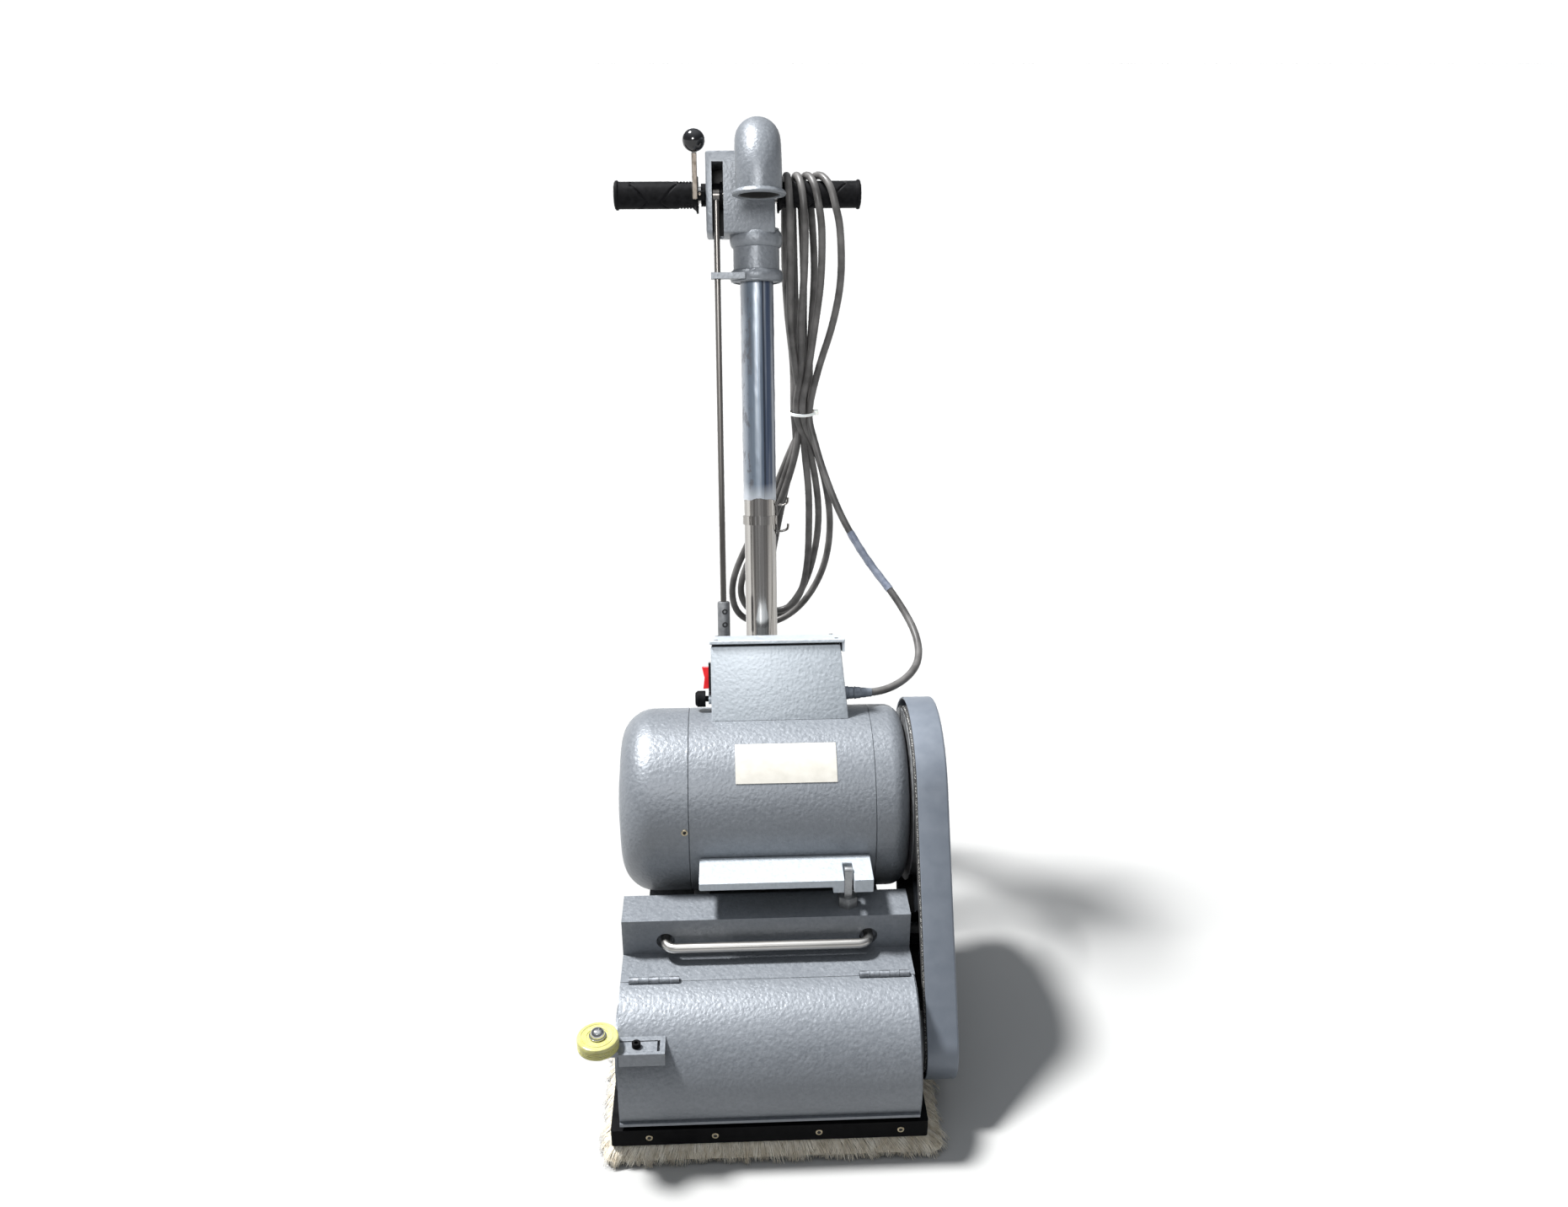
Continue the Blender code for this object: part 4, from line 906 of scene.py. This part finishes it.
def make_neck():
    """The rounded collar and the swept shoulder between the neck and the head block."""
    foot = tube_frame(TUBE_X, 0, 0)
    ring = half_round((NECK_R, 688.0), 5.6, 8.4) + [(30.0, 696.4), (30.0, 679.6)]
    painted("neck_collar", lathe("neck_collar", ring, foot, 72, True))
    ring = half_round((NECK_R, 736.0), 5.0, 11.0) + [(30.0, 747.0), (30.0, 725.0)]
    painted("neck_shoulder", lathe("neck_shoulder", ring, foot, 72, True))


def make_slot():
    """A dark sheet at the back of the lever's slot in the head: painted shade, where the slot has
    only shade.
    """
    head = tube_frame(0, 0, 0)
    corners = [(-51.8, 744.5), (-37.2, 744.5), (-37.2, 831.8), (-51.8, 831.8)]
    loops = [[head @ (Vector((x, y, s)) * MM) for x, s in corners] for y in (21.0, 21.9)]
    made = loft("slot_painted_shade", loops, closed_ends=True)
    piece("slot_painted_shade", made, "dark", "frame")


make_handle()
make_neck()
make_slot()
make_elbow()
make_throat()
make_grip("left", -70.3, -1.0)
make_grip("right", 35.0, 1.0)


# Ball, roller, nut and guard


def make_ball():
    """The lever's knob, with a flat where it meets its strip."""
    y, z = tube_point(0, GRIP_S)
    radius = 14.5
    centre = placed((LEVER_X, y - 35.6, z + 72.0), (1, 0, 0), (0, 1, 0))
    angles = [math.radians(a) for a in range(-75, 90, 5)]
    profile = [(0, -14.4), (3.6, -14.4)]
    profile += [(radius * math.cos(a), radius * math.sin(a)) for a in angles] + [(0, radius)]
    made = lathe("ball_knob", profile, centre, 64)
    piece("ball_knob", made, "black_plastic", "lever", ("lever_ball",))


def make_roller():
    """The ribbed guide roller, and the stud with a domed nut that holds it."""
    centre = placed((-194.0, -80.0, 0.0), (1, 0, 0), (0, 1, 0))
    radius = 23.5
    profile = [(4.4, 158.8), (9, 158.8), (21.8, 159.4), (23.2, 160.6), (radius, 161.8)]
    for z in (163.4, 165.6, 167.8, 170.0):
        profile += [(radius, z - 0.5), (radius - 0.8, z), (radius, z + 0.5)]
    profile += [(radius, 173.0), (22.9, 174.6), (21.5, 175.4), (19.2, 175.4), (18.8, 174.9)]
    profile += [(17.8, 174.9), (17.4, 175.4), (12.5, 175.4), (12.1, 174.7), (4.4, 174.7)]
    made = lathe("roller_wheel", profile, centre, 96, True)
    piece("roller_wheel", made, "roller", "roller", ("guide_roller",))
    dome = [(0, 185.2), (2.6, 184.9), (4.9, 184.0), (6.6, 182.6), (7.8, 180.7), (8.3, 178.6)]
    dome += [(8.4, 176.9), (9.6, 176.8), (9.6, 175.9), (4.0, 175.9), (4.0, 150.1)]
    dome += [(7.5, 150.1), (7.5, 145.4), (0, 145.4)]
    made = lathe("dome_nut", dome, centre, 64)
    piece("dome_nut", made, "polish", "roller_arm", ("roller_stud",))


def tangent_hull(circles, count=96):
    """The outline of a belt drawn tight round circles of (u, v, radius)."""
    points = []
    for u, v, radius in circles:
        points += arc((u, v), radius, 0.0, 360.0 * (count - 1) / count, count - 1)
    points = sorted(set((round(p[0], 4), round(p[1], 4)) for p in points))

    def half(ordered):
        chain = []
        for point in ordered:
            while len(chain) > 1:
                (ax, ay), (bx, by) = chain[-2:]
                if (bx - ax) * (point[1] - ay) - (by - ay) * (point[0] - ax) > 1e-6:
                    break
                chain.pop()
            chain.append(point)
        return chain[:-1]

    return half(points) + half(points[::-1])


def make_guard():
    """The pan over the belts: thin wall, rolled outer edge and a flat cover."""
    circles = [(MOTOR_Y, MOTOR_Z, 125.0), (0.0, DRUM_Z, 48.0), (190.0, 98.0, 40.0)]
    hull = tangent_hull(circles)
    middle = [sum(p[k] for p in hull) / len(hull) for k in (0, 1)]

    def outline(inset):
        loop = []
        for i, point in enumerate(hull):
            before, after = Vector(hull[i - 1]), Vector(hull[(i + 1) % len(hull)])
            along = (after - before).normalized()
            out = Vector((along.y, -along.x))
            loop.append(Vector(point) - out * inset)
        return loop

    inside_x = GUARD_X - 2.5
    rings = [(186.0, 0.6), (186.6, 0.0), (221.0, 0.0), (222.4, 0.45), (223.4, 1.3)]
    rings += [(GUARD_X, 2.8), (GUARD_X, 10.0)]
    inner = [(inside_x, 10.0), (inside_x, 2.5), (186.6, 2.5), (186.0, 1.9)]
    made = bmesh.new()
    rows = []
    for x, inset in rings + inner:
        rows.append([made.verts.new(at(x, p.x, p.y)) for p in outline(inset)])
    for row, following in zip(rows, rows[1:] + rows[:1]):
        if row is rows[len(rings) - 1]:
            continue
        for i in range(len(row)):
            j = (i + 1) % len(row)
            made.faces.new((row[i], row[j], following[j], following[i]))
    for row, x in ((rows[len(rings) - 1], GUARD_X), (rows[len(rings)], inside_x)):
        hub = made.verts.new(at(x, *middle))
        for i in range(len(row)):
            made.faces.new((row[i], row[(i + 1) % len(row)], hub))
    piece("guard_skin", finish_mesh(made, "guard_skin"), "guard", "frame", ("belt_guard",))


make_ball()
make_roller()
make_guard()


# Bristles


def rounded_loop(x_span, y_span, radius, z):
    """A rectangle with round corners, as points at one height."""
    found = []
    for ix, iy, start in ((1, 1, 0.0), (0, 1, 90.0), (0, 0, 180.0), (1, 0, 270.0)):
        x = x_span[ix] + (-radius if ix else radius)
        y = y_span[iy] + (-radius if iy else radius)
        found += [Vector((u, v, z)) for u, v in arc((x, y), radius, start, start + 90.0, 6)]
    return found


ROOTS_OUT = rounded_loop((-180.6, 177.6), (-92.8, 103.6), 6.0, 29.0)
ROOTS_IN = rounded_loop((-169.0, 167.0), (-84.0, 95.0), 5.0, 29.0)
TIPS_OUT = rounded_loop((-204.0, 213.0), (-108.0, 116.0), 15.0, 0.6)
TIPS_IN = rounded_loop((-184.0, 181.0), (-91.0, 101.0), 9.0, 0.6)


def make_bristle_bed():
    """The dense middle of the bristles, behind the single strands, darker than them as painted
    shade among the strands.
    """
    core = [ROOTS_OUT, [p + Vector((0, 0, -3)) for p in ROOTS_OUT]]
    core += [[a.lerp(b, t) for a, b in zip(ROOTS_OUT, TIPS_OUT)] for t in (0.35, 0.6, 0.8)]
    core = [[p - (p - q) * 0.12 for p, q in zip(loop, ROOTS_IN)] for loop in core]
    core += [[a.lerp(b, t) for a, b in zip(ROOTS_IN, TIPS_IN)] for t in (0.85, 0.5, 0.0)]
    loops = [[at(*p) for p in loop] for loop in core]
    made = loft("bristle_bed", loops, joined=True)
    piece("bristle_bed", made, "bristle_core_painted_shade", "frame", ("bristle_skirt",))


def between(outer, inner, i, share, depth):
    """A point a share of the way along side i of two loops, and a depth from outer to inner."""
    j = (i + 1) % len(outer)
    return outer[i].lerp(outer[j], share).lerp(inner[i].lerp(inner[j], share), depth)


def make_bristles():
    """Strands all round the skirt: they flare outwards, in clumps of uneven length."""
    random.seed(11)
    lengths = [(b - a).length for a, b in zip(TIPS_OUT, TIPS_OUT[1:] + TIPS_OUT[:1])]
    total = sum(lengths)
    count, steps = 8200, 4
    verts, faces = [], []
    for k in range(count):
        s = total * (k + random.random()) / count
        place, i = s, 0
        while place > lengths[i]:
            place -= lengths[i]
            i += 1
        share = place / lengths[i]
        depth = random.random() ** 1.6
        clump = 0.5 + 0.5 * math.sin(s * 0.21 + 2.1 * math.sin(s * 0.037)) * math.sin(s * 0.083)
        root = between(ROOTS_OUT, ROOTS_IN, i, share, depth)
        along = (TIPS_OUT[(i + 1) % len(TIPS_OUT)] - TIPS_OUT[i]).normalized()
        out = between(TIPS_OUT, TIPS_IN, i, share, depth) - root
        out.z = 0.0
        flare = min(0.55 + 0.45 * clump + random.uniform(-0.18, 0.12), 1.02)
        drift = random.gauss(0, 2.6) + 4.0 * math.sin(s * 0.12)
        tip = root + out * flare + along * drift
        tip.z = 0.7 + max(0.0, random.gauss(1.2, 1.6)) + 3.2 * (1 - clump) * (1 - depth)
        thick = random.uniform(0.26, 0.46)
        base = len(verts)
        for step in range(steps + 1):
            t = step / steps
            bow = math.sin(math.pi * t)
            point = root.lerp(tip, t) + out * (0.16 * bow) - Vector((0, 0, 0.6 * bow))
            point += along * 0.9 * math.sin(math.pi * t * 1.5 + k) * t
            point.z = max(point.z, 0.5)
            width = thick * (1.0 - 0.45 * t)
            for turn in (0.0, 2.1, 4.2):
                spoke = along * math.cos(turn) + out.normalized() * math.sin(turn)
                verts.append(at(*(point + spoke * width)))
        for step in range(steps):
            for side in range(3):
                a = base + step * 3 + side
                b = base + step * 3 + (side + 1) % 3
                faces.append((a, b, b + 3, a + 3))
        end = base + steps * 3
        faces.append((end, end + 1, end + 2))
        faces.append((base + 2, base + 1, base))
    mesh = bpy.data.meshes.new("bristles")
    mesh.from_pydata(verts, [], faces)
    mesh.polygons.foreach_set("use_smooth", [True] * len(mesh.polygons))
    piece("bristles", mesh, "bristle", "frame")


make_bristle_bed()
make_bristles()


# Screws and small hardware


def make_screw(name, matrix, radius, look="zinc", body="frame", ring=None):
    """A pan head with a socket, on an optional washer ring."""
    if ring:
        inner = radius + 0.2
        profile = [(inner, 0), (ring, 0), (ring, 0.5), (ring - 0.5, 0.9), (inner, 0.9)]
        made = lathe(name + "_ring", profile, matrix, 32, True)
        piece(name + "_ring", made, "brass", body)
    socket = radius * 0.42
    profile = [(0, 0.5), (socket, 0.5), (socket, 1.0), (radius * 0.7, 1.1), (radius, 0.6)]
    profile += [(radius, -0.4), (0, -0.4)]
    piece(name, lathe(name, profile, matrix, 28), look, body)


def facing(place, out, up=(0, 0, 1)):
    """A matrix at a place in drawing millimetres whose Z points out."""
    out = Vector(out).normalized()
    return placed(place, Vector(up).cross(out), Vector(up) - out * Vector(up).dot(out))


def make_band_screws():
    """Recessed screws in washer rings along the four sides of the black band."""
    sides = []
    for i, x in enumerate((-141.0, -65.0, 55.0, 150.0)):
        sides.append((f"band_screw_front_{i}", facing((x, -97.0, BAND_Z), (0, -1, 0))))
        sides.append((f"band_screw_back_{i}", facing((x, 108.0, BAND_Z), (0, 1, 0))))
    for i, y in enumerate((-60.0, 5.0, 70.0)):
        sides.append((f"band_screw_left_{i}", facing((-185.0, y, BAND_Z), (-1, 0, 0))))
        sides.append((f"band_screw_right_{i}", facing((182.0, y, BAND_Z), (1, 0, 0))))
    for name, matrix in sides:
        make_screw(name, matrix, 2.2, "dark", ring=4.0)


def make_coupling():
    """The rod's coupling sleeve and its two set screws."""
    sleeve = [(4.0, 200.5), (7.4, 200.5), (8.4, 201.5), (8.4, 249.0), (7.4, 250.5), (4.0, 250.5)]
    made = lathe("coupling_sleeve", sleeve, tube_frame(ROD_X, ROD_N, 0), 40, True)
    piece("coupling_sleeve", made, "cast", "rod", ("rod_coupling",))
    profile = [(0, -0.3), (1.6, -0.3), (1.8, 0.5), (3.6, 0.5), (3.9, 0.1), (3.9, -1.4), (0, -1.4)]
    out = (0.2, -math.cos(LEAN), math.sin(LEAN))
    for i, s in enumerate((237.5, 219.5)):
        name = f"set_screw_{i}"
        matrix = facing((ROD_X + 1.5, *tube_point(ROD_N + 8.1, s)), out)
        piece(name, lathe(name, profile, matrix, 24), "dark", "rod")


def make_hardware():
    """Every screw that is seen, and the coupling on the rod."""
    make_band_screws()
    for i, angle in enumerate((11.0, 131.0, 251.0)):
        make_screw(f"bell_screw_{i}", on_motor(-97.5, angle), 2.0, "dark", ring=4.0)
    up_box = (0, math.sin(BOX_LEAN), math.cos(BOX_LEAN))
    for i, (x, t) in enumerate(((-56, -46), (96, -46), (-56, 46), (96, 46))):
        place = box_frame() @ (Vector((x, t, BOX_TOP)) * MM) / MM + MIDDLE
        make_screw(f"lid_screw_{i}", facing(place, up_box, (1, 0, 0)), 2.6)
    make_coupling()
    y, z = tube_point(0, GRIP_S)
    make_screw("strip_screw", facing((-68.0, y - 34.4, z + 5.5), (0, -1, 0)), 1.9, "strip", "lever")
    for i, (y, z) in enumerate(((95.0, 160.0), (150.0, 150.0))):
        make_screw(f"guard_screw_{i}", facing((GUARD_X, y, z), (1, 0, 0)), 4.2, "zinc", ring=6.5)
    for i, angle in enumerate((30.0, 90.0, 150.0)):
        a = math.radians(angle)
        place = (-181.0, 40 * math.cos(a), DRUM_Z + 40 * math.sin(a))
        make_screw(f"cover_screw_{i}", facing(place, (-1, 0, 0)), 2.8)


make_hardware()


# Stage: pale floor and soft light


def make_floor():
    """A pale matt floor that runs to the horizon, just under the object."""
    half, z = 160.0, -0.0005
    mesh = bpy.data.meshes.new("floor")
    corners = [(-half, -half, z), (half, -half, z), (half, half, z), (-half, half, z)]
    mesh.from_pydata(corners, [], [(0, 1, 2, 3)])
    look = Paint("floor_paint", Roughness=0.85)
    look.shader.inputs["Base Color"].default_value = (0.31, 0.31, 0.306, 1.0)
    mesh.materials.append(look.material)
    linked("floor", mesh)


def make_sky():
    """Soft light that is strongest overhead, over a white strip at the horizon."""
    world = bpy.data.worlds.new("studio")
    world.use_nodes = True
    nodes, links = world.node_tree.nodes, world.node_tree.links
    background = nodes["Background"]
    split = nodes.new("ShaderNodeSeparateXYZ")
    links.new(nodes.new("ShaderNodeTexCoord").outputs["Generated"], split.inputs["Vector"])
    stops = [(0.0, (1.35, 1.35, 1.35)), (0.022, (1.35, 1.35, 1.35)), (0.05, (0.36, 0.36, 0.37))]
    stops += [(0.40, (0.19, 0.20, 0.215)), (0.70, (0.46, 0.49, 0.53)), (1.0, (1.25, 1.30, 1.36))]
    colour = colour_ramp(nodes, links, split.outputs["Z"], stops)
    links.new(colour, background.inputs["Color"])
    background.inputs["Strength"].default_value = 0.8
    bpy.context.scene.world = world


def make_lights():
    """A soft sun from above and behind the left, and a weak box light from the front."""
    data = bpy.data.lights.new("soft_sun", "SUN")
    data.energy = 9.6
    data.angle = math.radians(9.0)
    aimed(linked("soft_sun", data), (0.42, -0.19, -0.89))
    data = bpy.data.lights.new("front_soft_box", "AREA")
    data.energy = 4.2
    data.size = 0.5
    data.spread = math.radians(60.0)
    front = aimed(linked("front_soft_box", data), (0.3, 1.8, -0.68))
    front.location = (-0.3, -1.7, 1.9)


make_floor()
make_sky()
make_lights()
bpy.context.scene.view_settings.view_transform = "Standard"
